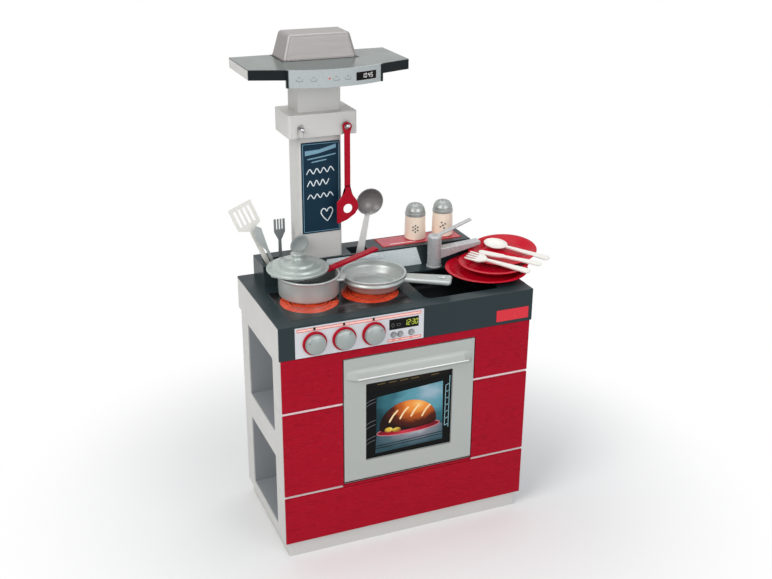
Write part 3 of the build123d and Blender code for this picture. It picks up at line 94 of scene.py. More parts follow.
def srgb(r, g, b):
    """A colour written in 0-255 as a linear RGBA."""
    def linear(c):
        c /= 255.0
        return c / 12.92 if c <= 0.04045 else ((c + 0.055) / 1.055) ** 2.4
    return (linear(r), linear(g), linear(b), 1.0)


def scaled(colour, k):
    """A colour written in 0-255 as a linear RGBA, made lighter or darker by k."""
    return tuple(min(1.0, c * k) for c in srgb(*colour)[:3]) + (1.0,)


def add_node(nt, kind, inputs, **settings):
    """A new node with its settings and with its inputs, by name or number, each a value or a socket."""
    node = nt.nodes.new(kind)
    for key, value in settings.items():
        setattr(node, key, value)
    for key, value in inputs.items():
        if hasattr(value, "links"):
            nt.links.new(value, node.inputs[key])
        else:
            node.inputs[key].default_value = value
    return node


class Tree:
    """A material's node tree with a Principled shader and short ways to add nodes."""

    def __init__(self, name, **constants):
        self.mat = bpy.data.materials.new(name)
        self.mat.use_nodes = True
        self.nt = self.mat.node_tree
        self.nt.nodes.clear()
        constants = {key.replace("_", " "): value for key, value in constants.items()}
        self.bsdf = self.node("ShaderNodeBsdfPrincipled", constants)
        self.out = self.node("ShaderNodeOutputMaterial", {0: self.bsdf.outputs[0]})
        self.place = self.node("ShaderNodeTexCoord", {}).outputs["Object"]

    def node(self, kind, inputs, **settings):
        return add_node(self.nt, kind, inputs, **settings)

    def to(self, name, value):
        self.nt.links.new(value, self.bsdf.inputs[name])

    def scale(self, sx, sy, sz, turn=(0, 0, 0)):
        turn = [math.radians(a) for a in turn]
        values = {"Vector": self.place, "Scale": (sx, sy, sz), "Rotation": turn}
        return self.node("ShaderNodeMapping", values).outputs[0]

    def noise(self, scale, detail=2.0, rough=0.5, vector=None, warp=0.0):
        values = {"Vector": vector or self.place, "Scale": scale, "Detail": detail, "Roughness": rough,
                  "Distortion": warp}
        return self.node("ShaderNodeTexNoise", values).outputs["Fac"]

    def math(self, op, a, b=0.0):
        return self.node("ShaderNodeMath", {0: a, 1: b}, operation=op).outputs[0]

    def plus(self, a, b):
        return self.math("ADD", a, b)

    def minus(self, a, b):
        return self.math("SUBTRACT", a, b)

    def times(self, a, b):
        return self.math("MULTIPLY", a, b)

    def reach(self, a, b):
        """Distance from the origin of a point (a, b)."""
        return self.math("SQRT", self.plus(self.times(a, a), self.times(b, b)))

    def band(self, value, rise, fall):
        """One between the two smooth edges rise and fall, each given as (from, to), and zero outside."""
        return self.times(self.span(value, *rise), self.span(value, *fall))

    def span(self, value, a, b, lo=0.0, hi=1.0):
        """Map value from a..b to lo..hi, held at the ends, with a smooth step."""
        values = {"Value": value, "From Min": a, "From Max": b, "To Min": lo, "To Max": hi}
        return self.node("ShaderNodeMapRange", values, interpolation_type="SMOOTHSTEP").outputs[0]

    def mix(self, fac, a, b, kind="MIX"):
        values = {"Factor": fac, 6: a, 7: b}
        return self.node("ShaderNodeMix", values, data_type="RGBA", blend_type=kind).outputs[2]

    def axes(self):
        return self.node("ShaderNodeSeparateXYZ", {0: self.place}).outputs

    def bump(self, height, strength, distance):
        values = {"Height": height, "Strength": strength, "Distance": distance}
        self.to("Normal", self.node("ShaderNodeBump", values).outputs[0])

    def uneven(self, cloud, colour, spread):
        """A colour that is darker and lighter by spread with the cloud."""
        return self.mix(cloud, scaled(colour, 1 - spread), scaled(colour, 1 + spread))

    def speckled(self, base, fine, a, b, speck):
        """Base colour with fine specks."""
        tint = self.mix(self.span(fine, a, b), (1 - speck,) * 3 + (1,), (1 + speck,) * 3 + (1,))
        self.to("Base Color", self.mix(1.0, base, tint, "MULTIPLY"))

    def uneven_gloss(self, cloud, rough, less=0.05, more=0.05):
        self.to("Roughness", self.span(cloud, 0.3, 0.7, rough - less, rough + more))


def moulded(name, colour, rough, metal=0.0, speck=0.03, bump=0.12, mottle=0.05, **constants):
    """Moulded plastic: faint mottling, a fine matt texture and uneven gloss."""
    t = Tree(name, Metallic=metal, **constants)
    fine = t.noise(1400.0, 2.0, 0.6)
    t.speckled(t.uneven(t.noise(9.0, 3.0, 0.6), colour, mottle), fine, 0.35, 0.65, speck)
    t.uneven_gloss(t.noise(30.0, 3.0, 0.6), rough)
    t.bump(fine, bump, 0.0001)
    return t.mat


def metallised(name, colour, rough, metal):
    """Metallised plastic: fine flakes under a smooth skin."""
    t = Tree(name, Metallic=metal)
    cloud = t.noise(14.0, 2.0, 0.5)
    t.speckled(t.uneven(cloud, colour, 0.05), t.noise(2600.0, 1.0, 0.5), 0.4, 0.6, 0.05)
    t.uneven_gloss(cloud, rough, 0.04, 0.06)
    t.bump(t.noise(900.0, 2.0, 0.5), 0.05, 0.0001)
    return t.mat


def woodgrain(name, colour):
    """Red front panels with an embossed wood grain running across."""
    t = Tree(name, IOR=1.2, Specular_IOR_Level=0.35)
    field = t.noise(1.0, 3.0, 0.45, t.scale(7.0, 7.0, 26.0), 0.35)
    rings = t.math("PINGPONG", t.times(field, 17.0), 0.5)
    line = t.span(rings, 0.0, 0.17)
    pores = t.noise(1.0, 3.0, 0.7, t.scale(70.0, 70.0, 1500.0))
    fibre = t.noise(1.0, 4.0, 0.65, t.scale(28.0, 28.0, 520.0))
    relief = t.plus(t.times(line, 0.55), t.times(fibre, 0.5))
    relief = t.plus(relief, t.times(pores, 0.35))
    tone = t.mix(line, scaled(colour, 0.8), scaled(colour, 1.0))
    tone = t.mix(t.span(fibre, 0.3, 0.7, 0.0, 0.6), tone, scaled(colour, 1.22))
    tone = t.mix(t.span(pores, 0.56, 0.72, 0.0, 0.22), tone, srgb(214, 88, 110))
    t.to("Base Color", tone)
    t.to("Roughness", t.span(fibre, 0.3, 0.7, 0.42, 0.56))
    t.bump(relief, 0.42, 0.00035)
    return t.mat


def brushed(name, colour, rough):
    """Brushed steel, the strokes running across."""
    t = Tree(name, Metallic=0.55, IOR=1.3)
    strokes = t.noise(1.0, 4.0, 0.7, t.scale(9.0, 900.0, 900.0))
    cloud = t.noise(6.0, 2.0, 0.5)
    t.to("Base Color", t.mix(strokes, scaled(colour, 0.9), scaled(colour, 1.08)))
    gloss = t.span(strokes, 0.3, 0.7, rough - 0.05, rough + 0.07)
    t.to("Roughness", t.plus(gloss, t.times(cloud, 0.05)))
    t.bump(strokes, 0.12, 0.00006)
    return t.mat


# the hob's print, in metres: the edge of a glowing field, the rings in it and the catch beside it
HOB_FIELD_R = (0.0532, 0.0518)
HOB_DARK_RING = ((0.0325, 0.0337), (0.0362, 0.0350))
HOB_DEEP_RING = ((0.0455, 0.0463), (0.0478, 0.0470))
HOB_CATCH = (((0.030, 0.034), (0.054, 0.050)), ((-0.014, -0.012), (-0.002, -0.004)))


def hob_print(name):
    """Black hob foil with two glowing fields, a dark catch beside each and a painted pale reflection."""
    t = Tree(name, Specular_IOR_Level=0.5)
    x, y, _ = t.axes()
    hot = srgb(236, 84, 40)
    deep = srgb(206, 56, 28)
    dark = srgb(52, 14, 12)
    wobble = t.times(t.minus(t.noise(26.0, 2.0, 0.5), 0.5), 0.004)
    # painted reflection: pale streaks across the black foil stand in for the studio light it reflects
    painted_reflection = t.noise(1.0, 2.0, 0.5, t.scale(14.0, 40.0, 1.0, (0, 0, 24)))
    colour = t.mix(t.span(painted_reflection, 0.56, 0.74, 0.0, 0.35), srgb(22, 19, 21), srgb(120, 112, 116))
    for cx, cy in BURNERS:
        dx = t.minus(x, cx * MM)
        dy = t.minus(y, cy * MM)
        r = t.plus(t.reach(dx, dy), wobble)
        field = t.span(r, *HOB_FIELD_R)
        veins = t.noise(1.0, 3.0, 0.6, t.scale(70.0, 150.0, 1.0), 1.2)
        glow = t.mix(t.span(veins, 0.40, 0.62), deep, hot)
        glow = t.mix(t.times(t.band(r, *HOB_DARK_RING), 0.85), glow, dark)
        glow = t.mix(t.times(t.band(r, *HOB_DEEP_RING), 0.55), glow, deep)
        catch = t.times(t.band(dx, *HOB_CATCH[0]), t.band(dy, *HOB_CATCH[1]))
        glow = t.mix(t.times(catch, 0.9), glow, srgb(38, 16, 14))
        colour = t.mix(field, colour, glow)
    t.to("Base Color", colour)
    t.uneven_gloss(t.noise(20.0), 0.22, 0.04, 0.04)
    t.bump(t.noise(700.0), 0.03, 0.0001)
    return t.mat


def ink(name, colour, rough=0.4, spread=0.06, **constants):
    """Printing ink or foil, and also the painted highlight and shadow strips: slightly uneven in tone and
    gloss.
    """
    t = Tree(name, **constants)
    cloud = t.noise(120.0, 3.0, 0.6)
    t.to("Base Color", t.uneven(cloud, colour, spread))
    t.uneven_gloss(cloud, rough)
    return t.mat


def lit_print(name, centre, radius, colours, blotch, spread=0.5):
    """Printed picture ground: tones that run from colours[0] at centre to colours[-1] at radius."""
    t = Tree(name, IOR=1.2)
    x, _, z = t.axes()
    dx = t.math("DIVIDE", t.minus(x, centre[0] * MM), radius[0] * MM)
    dz = t.math("DIVIDE", t.minus(z, centre[1] * MM), radius[1] * MM)
    far = t.reach(dx, dz)
    patch = t.noise(1.0, 4.0, 0.6, t.scale(blotch, blotch, blotch * 1.6), 0.6)
    far = t.plus(far, t.times(t.minus(patch, 0.5), spread))
    tones = [srgb(*c) for c in colours]
    colour = tones[0]
    steps = len(tones) - 1
    for k, tone in enumerate(tones[1:]):
        colour = t.mix(t.span(far, k / steps, (k + 1) / steps), colour, tone)
    t.to("Base Color", colour)
    t.uneven_gloss(patch, 0.3)
    return t.mat


def split_tone(name, low_colour, high_colour, split, rough=0.36, metal=0.3, soft=6.0, **constants):
    """Plastic of one tone below and another above a height: the ladle's own two colours, and on the canopy
    cover a painted reflection that makes its top lighter than its sides.
    """
    t = Tree(name, Metallic=metal, **constants)
    _, _, z = t.axes()
    cloud = t.noise(24.0, 3.0, 0.6)
    lower = t.uneven(cloud, low_colour, 0.08)
    upper = t.uneven(cloud, high_colour, 0.03)
    t.to("Base Color", t.mix(t.span(z, (split - soft) * MM, (split + soft) * MM), lower, upper))
    t.uneven_gloss(cloud, rough)
    t.bump(t.noise(1100.0, 2.0, 0.5), 0.08, 0.0001)
    return t.mat


DOOR = moulded("silver_grey_plastic", (172, 177, 173), 0.36, metal=0.1)
RED_DEEP = moulded("deep_red_plastic", (170, 4, 34), 0.3, bump=0.04, speck=0.01, IOR=1.22)
SILVER = metallised("metallised_plastic", (154, 161, 159), 0.36, 0.35)
DISH = metallised("dish_silver", (180, 186, 184), 0.34, 0.35)
LID = metallised("lid_silver", (178, 186, 182), 0.24, 0.3)
WHITE = moulded("white_plastic", (230, 228, 222), 0.3, bump=0.05)
# pale sheet for the ledge's sloping front: a painted reflection of the white surroundings
LEDGE_REFLECTION_PAINT = moulded("ledge_painted_reflection", (188, 197, 200), 0.26, metal=0.2)

FINISH = {
    moulded("light_grey_plastic", (201, 200, 197), 0.44): (
        "tier_lower", "tier_middle", "tier_upper", "worktop_frame", "column", "hook_box", "canopy",
        "base_plinth"),
    moulded("bay_grey_plastic", (150, 154, 158), 0.5): ("shelf_insert",),
    woodgrain("red_woodgrain_panel", (158, 11, 34)): ("front_upper", "front_middle", "front_lower"),
    moulded("dark_liner_plastic", (14, 17, 19), 0.4, IOR=1.2): ("oven_liner", "sink_basin"),
    moulded("slate_plastic", (38, 51, 55), 0.34, bump=0.2, IOR=1.28, Specular_IOR_Level=0.5): (
        "worktop_cover", "ledge_cover"),
    # canopy cover: dark slate sides and a much lighter top, a painted reflection of the white surroundings
    # on the glossy top
    split_tone("slate_painted_top_highlight", (20, 28, 30), (104, 112, 109), 875.4,
             rough=0.2, metal=0.0, soft=0.4, IOR=1.24): ("canopy_cover",),
    DOOR: ("door_frame",),
    moulded("tap_grey_plastic", (182, 184, 185), 0.28, metal=0.2, speck=0.008, bump=0.04): (
        "tap_base", "tap_spout", "tap_lever"),
    moulded("pane_plastic", (8, 10, 11), 0.2, bump=0.02, IOR=1.2): ("door_window",),
    metallised("steel_wire", (150, 152, 154), 0.3, 1.0): ("hinge_pins", "screws", "oven_shelf"),
    moulded("panel_plate", (206, 208, 212), 0.34, metal=0.1): ("control_panel",),
    moulded("red_glossy_plastic", (190, 4, 34), 0.26, bump=0.03, speck=0.01, IOR=1.24): (
        "plate_1", "plate_2", "plate_3"),
    RED_DEEP: ("knob_collars", "pot_spoon", "corner_spoon", "ledge_inlay"),
    SILVER: ("knob_left", "knob_middle", "knob_right"),
    metallised("button_metal", (150, 152, 153), 0.28, 0.6): ("button_left", "button_middle", "button_right"),
    metallised("cap_silver", (158, 162, 160), 0.34, 0.6): ("shaker_left_cap", "shaker_right_cap"),
    metallised("chrome_plastic", (190, 190, 194), 0.16, 1.0): ("hook_pegs",),
    moulded("strip_plate", (170, 177, 178), 0.3, metal=0.15): ("hood_strip",),
    brushed("brushed_steel", (152, 148, 147), 0.4): ("chimney",),
    DISH: ("pot", "pan"),
    LID: ("pot_lid",),
    moulded("chalkboard_foil", (12, 44, 62), 0.55, mottle=0.12, IOR=1.25): ("chalkboard",),
    WHITE: ("cutlery_fork", "cutlery_knife", "cutlery_spoon", "turner"),
    moulded("utensil_grey", (172, 178, 177), 0.32, metal=0.15): ("table_knife", "table_spoon"),
    moulded("utensil_dark_grey", (122, 126, 127), 0.32, metal=0.25): ("table_fork",),
    split_tone("ladle_two_tone", (232, 232, 230), (122, 118, 118), 574.0): ("ladle",),
    moulded("cream_plastic", (252, 232, 212), 0.4, bump=0.04): ("shaker_left", "shaker_right"),
    # ledge body: its glossy silver front is painted dark, a painted reflection of the dark worktop, pot and
    # tap in front of it
    moulded("ledge_painted_dark_reflection", (40, 52, 55), 0.3, IOR=1.25): ("ledge_body",),
    hob_print("hob_foil"): ("hob_plate",),
}
for finish, names in FINISH.items():
    for node_name in names:
        mesh = NODES[node_name].data
        mesh.materials.clear()
        mesh.materials.append(finish)
for node_name, node in NODES.items():
    if not node.data.materials or node.data.materials[0] not in FINISH:
        raise SystemExit("no finish for " + node_name)


# ---------- printed and applied details

def linked(name, bm):
    """An object in the scene with the mesh of bm."""
    obj = bpy.data.objects.new(name, bpy.data.meshes.new(name))
    bm.to_mesh(obj.data)
    bm.free()
    bpy.context.scene.collection.objects.link(obj)
    return obj


def new_piece(name, bm, mat, body):
    bmesh.ops.recalc_face_normals(bm, faces=bm.faces)
    obj = linked(name, bm)
    obj.data.materials.append(mat)
    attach(obj, body)
    return obj


def front_plane(y, x=0.0, z=0.0):
    """Place (u, v) about (x, z) on an upright plane that faces the front; w is the height above it."""
    return lambda u, v, w: Vector((x + u, y - w, z + v)) * MM


def upright(x, y, z):
    """Place (u, v) about (x, y) on a level plane; w is the height above it."""
    return lambda u, v, w: Vector((x + u, y + v, z + w)) * MM


def strip_place(u, v, w):
    """Place on the bowed face of the hood's strip."""
    a = math.asin((u - TOWER_X) / STRIP_R)
    r = STRIP_R + w
    return Vector((TOWER_X + r * math.sin(a), STRIP_CENTRE_Y - r * math.cos(a), v)) * MM


def wall(bm, low, high, closed=True):
    """Faces between two rows of equally many corners."""
    n = len(low)
    for k in range(n if closed else n - 1):
        j = (k + 1) % n
        bm.faces.new((low[k], low[j], high[j], high[k]))


def add_ring(bm, place, ring, low, high):
    """A closed outline as a thin prism."""
    top = [bm.verts.new(place(u, v, high)) for u, v in ring]
    foot = [bm.verts.new(place(u, v, low)) for u, v in ring]
    caps = [bm.faces.new(top), bm.faces.new(foot[::-1])]
    wall(bm, foot, top)
    bmesh.ops.triangulate(bm, faces=[f for f in caps if len(f.verts) > 4])


def add_strip(bm, place, left, right, low, high, closed):
    """A ribbon between two rails as a thin prism."""
    rows = [[bm.verts.new(place(u, v, w)) for u, v in rail] for w in (high, low) for rail in (left, right)]
    lt, rt, lf, rf = rows
    for one, other in ((lt, rt), (rt, rf), (rf, lf), (lf, lt)):
        wall(bm, one, other, closed)
    if not closed:
        for k in (0, -1):
            bm.faces.new((lt[k], rt[k], rf[k], lf[k]))


def rails(points, width, closed, taper):
    """The two sides of a line of that width; an open line may taper towards its ends."""
    n = len(points)
    left, right = [], []
    for k, (u, v) in enumerate(points):
        a = points[(k - 1) % n] if closed or k else points[0]
        b = points[(k + 1) % n] if closed or k < n - 1 else points[-1]
        du, dv = b[0] - a[0], b[1] - a[1]
        long = math.hypot(du, dv) or 1.0
        half = width / 2
        if taper and not closed:
            end = min(k, n - 1 - k) / (n - 1) * 2
            half *= 1 - taper * (1 - min(1.0, end * 4)) ** 2
        left.append((u - dv / long * half, v + du / long * half))
        right.append((u + dv / long * half, v - du / long * half))
    return left, right


def smooth_line(points, steps=6):
    """A Catmull-Rom line through the points."""
    out = []
    n = len(points)
    for k in range(n - 1):
        p = [Vector(points[max(0, min(n - 1, k + i))]) for i in (-1, 0, 1, 2)]
        for s in range(steps):
            t = s / steps
            square = (2 * p[0] - 5 * p[1] + 4 * p[2] - p[3]) * t * t
            cube = (3 * p[1] - p[0] - 3 * p[2] + p[3]) * t ** 3
            out.append(tuple(0.5 * ((2 * p[1]) + (p[2] - p[0]) * t + square + cube)))
    out.append(tuple(points[-1]))
    return out


CORNER_STEPS = 4


def oblong(u0, u1, v0, v1, r=0.0):
    """A rectangle with corners rounded to r."""
    if r <= 0:
        return [(u0, v0), (u1, v0), (u1, v1), (u0, v1)]
    ring = []
    corners = ((u1 - r, v0 + r, -90), (u1 - r, v1 - r, 0), (u0 + r, v1 - r, 90), (u0 + r, v0 + r, 180))
    for cu, cv, start in corners:
        for k in range(CORNER_STEPS + 1):
            a = math.radians(start + 90 * k / CORNER_STEPS)
            ring.append((cu + r * math.cos(a), cv + r * math.sin(a)))
    return ring


def disc(cu, cv, r, ru=None, steps=28):
    """A circle, or an oval with the half width ru."""
    turns = [2 * math.pi * k / steps for k in range(steps)]
    return [(cu + (ru or r) * math.cos(a), cv + r * math.sin(a)) for a in turns]


# A ground is a pair: the body that carries a print, and the place that maps (u, v, w) to the scene.
# A print fills the height from low to high above it.

def sheet(name, ground, rings, mat, high, low=0.0):
    body, place = ground
    bm = bmesh.new()
    for ring in rings:
        add_ring(bm, place, ring, low, high)
    new_piece(name, bm, mat, body)


def outline(name, ground, loops, width, mat, high, low=0.0, closed=True, taper=0.0):
    body, place = ground
    bm = bmesh.new()
    for loop in loops:
        left, right = rails(loop, width, closed, taper)
        add_strip(bm, place, left, right, low, high, closed)
    new_piece(name, bm, mat, body)


def framed(name, ground, boxes, width, mat, high):
    """Rectangular lines with sharp corners, inside the given rectangles."""
    body, place = ground
    bm = bmesh.new()
    for u0, u1, v0, v1 in boxes:
        inner = oblong(u0 + width, u1 - width, v0 + width, v1 - width)
        add_strip(bm, place, oblong(u0, u1, v0, v1), inner, 0.0, high, True)
    new_piece(name, bm, mat, body)


SEGMENTS = {"0": "abcdef", "1": "bc", "2": "abged", "3": "abgcd", "4": "fgbc", "5": "afgcd"}
DIGIT_SLANT = 0.12


def digit_rings(char, u, v, w, h, t):
    """Seven-segment strokes of width t of one digit, its lower left corner at (u, v)."""
    half = h / 2
    gap = t * 0.15
    spots = {"a": (0, h - t, w, h), "g": (0, half - t / 2, w, half + t / 2), "d": (0, 0, w, t),
             "f": (0, half + gap, t, h), "b": (w - t, half + gap, w, h),
             "e": (0, 0, t, half - gap), "c": (w - t, 0, w, half - gap)}
    cut = t * 0.55
    rings = []
    for name in SEGMENTS[char]:
        a0, b0, a1, b1 = spots[name]
        level = name in "adg"
        if not level:
            a0, b0, a1, b1 = b0, a0, b1, a1
        mid = (b0 + b1) / 2
        ring = [(a0 + cut, b0), (a1 - cut, b0), (a1 - cut * 0.4, mid),
                (a1 - cut, b1), (a0 + cut, b1), (a0 + cut * 0.4, mid)]
        if not level:
            ring = [(a, b) for b, a in ring]
        rings.append([(u + a + DIGIT_SLANT * b, v + b) for a, b in ring])
    return rings


def number(chars, spots, *size):
    """Strokes of several digits, their lower left corners at spots."""
    return [ring for char, spot in zip(chars, spots) for ring in digit_rings(char, spot, *size)]


INK_RED = ink("ink_red", (214, 52, 52))
INK_SALMON = ink("ink_salmon", (248, 206, 196))
# black for print, and also the painted shadow along the chimney's foot
BLACK_INK_AND_PAINTED_SHADOW = ink("black_ink_and_painted_shadow", (14, 12, 13), 0.25, IOR=1.2)
INK_GREY = ink("ink_grey", (120, 126, 130))
INK_GREEN = ink("ink_green", (206, 220, 70), 0.5)
INK_WHITE = ink("ink_white", (244, 244, 240), 0.6)
INK_DIM = ink("ink_dim", (96, 102, 96), 0.5)
CHALK = ink("chalk", (226, 236, 240), 0.9, spread=0.1)
CHALK_DIM = ink("chalk_dim", (120, 160, 180), 0.9, spread=0.16)
RED_PLATE = moulded("red_plate_foil", (214, 20, 42), 0.3, bump=0.04)


# ---------- forms that stand for plain CAD solids

def laid(start, end, face):
    """Place (a, b, h): a runs from start towards end, h points towards face."""
    origin = Vector(start)
    along = (Vector(end) - origin).normalized()
    out = (Vector(face) - along * Vector(face).dot(along)).normalized()
    side = out.cross(along)
    return lambda a, b, h: (origin + along * a + side * b + out * h) * MM


def lathe(bm, place, profile, steps):
    """Turn a profile of (radius, height) about the axis of place."""
    rings = []
    for r, h in profile:
        count = steps if r > 1e-6 else 1
        turns = [2 * math.pi * k / steps for k in range(count)]
        rings.append([bm.verts.new(place(r * math.cos(a), r * math.sin(a), h)) for a in turns])
    for low, high in zip(rings, rings[1:]):
        for k in range(steps):
            j = (k + 1) % steps
            corners = (low[k % len(low)], low[j % len(low)], high[j % len(high)], high[k % len(high)])
            corners = list(dict.fromkeys(corners))
            if len(corners) > 2:
                bm.faces.new(corners)


def arc(cr, ch, r, a0, a1, steps=5):
    """Points of a round stretch of a profile about (cr, ch), angles in degrees."""
    angles = [math.radians(a0 + (a1 - a0) * k / steps) for k in range(steps + 1)]
    return [(cr + r * math.cos(a), ch + r * math.sin(a)) for a in angles]


def inset(ring, width):
    """A closed outline moved inwards by width."""
    n = len(ring)
    area = sum(ring[k - 1][0] * ring[k][1] - ring[k][0] * ring[k - 1][1] for k in range(n))
    way = 1 if area > 0 else -1
    out = []
    for k in range(n):
        here = Vector(ring[k])
        before = (here - Vector(ring[k - 1])).normalized()
        after = (Vector(ring[(k + 1) % n]) - here).normalized()
        normal = Vector((-(before + after).y, (before + after).x)).normalized() * way
        sharp = max(0.5, normal.dot(Vector((-after.y, after.x)) * way))
        out.append(tuple(here + normal * width / sharp))
    return out


def layers(bm, place, rings, round_trip=False):
    """Join outlines of equally many points, each with its height; cap the ends, or join them too."""
    rows = [[bm.verts.new(place(u, v, h)) for u, v in ring] for ring, h in rings]
    for low, high in zip(rows, rows[1:] + rows[:1] if round_trip else rows[1:]):
        wall(bm, low, high)
    if not round_trip:
        caps = [bm.faces.new(rows[0][::-1]), bm.faces.new(rows[-1])]
        bmesh.ops.triangulate(bm, faces=caps)


def slab(bm, place, ring, low, high, soft):
    """A flat piece with softened edges."""
    small = inset(ring, soft)
    layers(bm, place, [(small, low), (ring, low + soft), (ring, high - soft), (small, high)])


def mirrored(upper):
    """A closed outline from its upper half."""
    return upper[::-1] + [(a, -w) for a, w in upper]


HOLE_STEPS = 48


def holed_slab(bm, place, ring, centre, hole, low, high, soft):
    """A softened flat piece, convex and anticlockwise, with an oval hole of half sizes hole at centre."""
    angles = {2 * math.pi * k / HOLE_STEPS for k in range(HOLE_STEPS)}
    angles |= {math.atan2(v - centre[1], u - centre[0]) % (2 * math.pi) for u, v in ring}
    outer, oval = [], []
    for a in sorted(angles):
        ray = Vector((math.cos(a), math.sin(a)))
        reach = math.inf
        for before, after in zip(ring, ring[1:] + ring[:1]):
            p = Vector(before) - Vector(centre)
            edge = Vector(after) - Vector(before)
            cross = ray.x * edge.y - ray.y * edge.x
            if cross > 1e-9:
                reach = min(reach, (p.x * edge.y - p.y * edge.x) / cross)
        outer.append((centre[0] + ray.x * reach, centre[1] + ray.y * reach))
        oval.append((centre[0] + hole[0] * ray.x, centre[1] + hole[1] * ray.y))
    small = inset(outer, soft)
    wide = inset(oval, -soft)
    layers(bm, place, [(wide, high), (small, high), (outer, high - soft), (outer, low + soft), (small, low),
                       (wide, low), (oval, low + soft), (oval, high - soft)], True)


LEVEL = 0.99999  # a normal's share along an axis from which a face counts as level


def modelled(name, bm, mat, nodes, body, sharp=32.0):
    """A piece that stands for CAD nodes: smooth but for level faces and edges steeper than sharp degrees."""
    bmesh.ops.recalc_face_normals(bm, faces=bm.faces)
    bm.normal_update()
    for face in bm.faces:
        face.smooth = max(abs(c) for c in face.normal) < LEVEL
    for edge in bm.edges:
        edge.smooth = len(edge.link_faces) != 2 or edge.calc_face_angle(0.0) < math.radians(sharp)
    obj = new_piece(name, bm, mat, body)
    if nodes:
        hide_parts(*nodes)


# knobs and their collars
COLLAR_T = 4.0
COLLAR_R = 21.9
KNOB_GAP = 0.3
KNOB_R = 18.8
KNOB_OUT = 7.0  # height of the cap's side
KNOB_DOME = 4.4
SHAFT_R = 4.0
BORE_R = SHAFT_R + 0.4
KNOB_SHAFT = 11.0
KNOB_ANGLE = (-68.0, 27.0, 50.0)
KNOB_NAMES = ("left", "middle", "right")
CAP_BACK_Y = PANEL_Y - COLLAR_T - KNOB_GAP
POINTER_AT = 12.0
POINTER_LONG = 5.0


def knob_profile():
    """Cap from its shaft's end to the middle of its shallow dome."""
    side = [(0.0, -KNOB_SHAFT), (SHAFT_R, -KNOB_SHAFT), (SHAFT_R, 0.0), (KNOB_R - 0.8, 0.0), (KNOB_R, 0.8)]
    corner = arc(KNOB_R - 3.2, KNOB_OUT - 1.4, 2.6, 6, 62)
    first = corner[-1]
    rise = KNOB_OUT + KNOB_DOME - first[1]
    dome = [(first[0] * (1 - k / 8), first[1] + rise * math.sin(math.pi / 2 * k / 8)) for k in range(1, 8)]
    return side + corner + dome + [(0.0, KNOB_OUT + KNOB_DOME)]


bm = bmesh.new()
for x in KNOB_X:
    ring = [(BORE_R, 0.0), (BORE_R, COLLAR_T), (COLLAR_R - 1.6, COLLAR_T)]
    ring += arc(COLLAR_R - 1.2, COLLAR_T - 1.2, 1.2, 80, 0) + [(COLLAR_R, 0.0), (BORE_R, 0.0)]
    lathe(bm, front_plane(PANEL_Y, x, KNOB_Z), ring, 80)
modelled("collar_rings", bm, RED_DEEP, ["knob_collars"], "cabinet")
for x, side, angle in zip(KNOB_X, KNOB_NAMES, KNOB_ANGLE):
    bm = bmesh.new()
    lathe(bm, front_plane(CAP_BACK_Y, x, KNOB_Z), knob_profile(), 80)
    modelled(side + "_knob_cap", bm, SILVER, ["knob_" + side], side + "_knob", 40.0)
    bm = bmesh.new()
    a = math.radians(angle)
    tip_at = POINTER_AT + POINTER_LONG
    foot = (x + POINTER_AT * math.sin(a), CAP_BACK_Y - KNOB_OUT - 2.6, KNOB_Z + POINTER_AT * math.cos(a))
    tip = (x + tip_at * math.sin(a), foot[1] + 1.2, KNOB_Z + tip_at * math.cos(a))
    slab(bm, laid(foot, tip, (0, -1, 0)), oblong(0.0, POINTER_LONG, -0.8, 0.8, 0.7), -0.6, 0.4, 0.25)
    modelled(side + "_knob_pointer", bm, INK_GREY, [], side + "_knob")

# pot lid: thick edge, two steps and a flared knob
LID_AT = (-161.0, 17.0, 510.4)
LID_R = 56.5
LID_TOP = 18.0  # height of the lid's middle, where the knob stands
lid_profile = [(0.0, LID_TOP - 1.8), (27.0, 14.4), (28.5, 10.6), (43.0, 8.8), (45.0, 0.6)]
lid_profile += [(LID_R - 0.8, 0.0)] + arc(LID_R - 1.6, 1.6, 1.6, -50, 0, 3)
lid_profile += arc(LID_R - 1.6, 3.8, 1.6, 0, 75, 4) + [(47.6, 6.4), (47.0, 8.6)]
lid_profile += arc(45.6, 9.4, 1.2, -10, 80, 4) + [(32.0, 11.6), (31.4, 13.6)]
lid_profile += arc(30.0, 14.4, 1.2, -10, 80, 4) + [(13.0, LID_TOP), (9.6, LID_TOP + 1.2)]
lid_profile += [(8.0, LID_TOP + 4.0), (8.2, LID_TOP + 7.4), (9.4, LID_TOP + 10.4)]
lid_profile += arc(11.4, LID_TOP + 12.0, 1.3, -60, 70, 5) + [(7.0, LID_TOP + 13.6), (0.0, LID_TOP + 13.8)]
bm = bmesh.new()
lathe(bm, upright(*LID_AT), lid_profile, 96)
modelled("pot_lid_stepped", bm, LID, ["pot_lid"], "lid", 50.0)

# pot: round foot, rolled rim, an ear on each side
POT_AT = (-147.0, -2.0, 467.7)
POT_TOP = 41.0
POT_WIDER = 1.03
EAR_TURN = 151.0
EAR_AT = 51.6  # where the ears start, from the pot's axis
pot_outer = [(0.0, 0.0), (46.0, 0.0)] + arc(47.6, 5.4, 5.4, -78, 0, 7) + [(53.4, 20.0), (53.8, 34.6)]
pot_outer += arc(53.9, POT_TOP - 2.2, 1.6, -60, 90, 6)
pot_inner = [(52.2, POT_TOP - 0.8), (51.8, POT_TOP - 3.4), (51.2, 20.0), (50.6, 8.0)]
pot_inner += arc(46.6, 6.0, 3.6, -10, -90, 5) + [(30.0, 2.4), (0.0, 2.4)]
ear = [(0.0, -16.0), (7.0, -15.0)] + arc(9.6, -8.0, 5.8, -60, 0, 4) + arc(9.6, 8.0, 5.8, 0, 60, 4)
ear += [(7.0, 15.0), (0.0, 16.0)]
bm = bmesh.new()
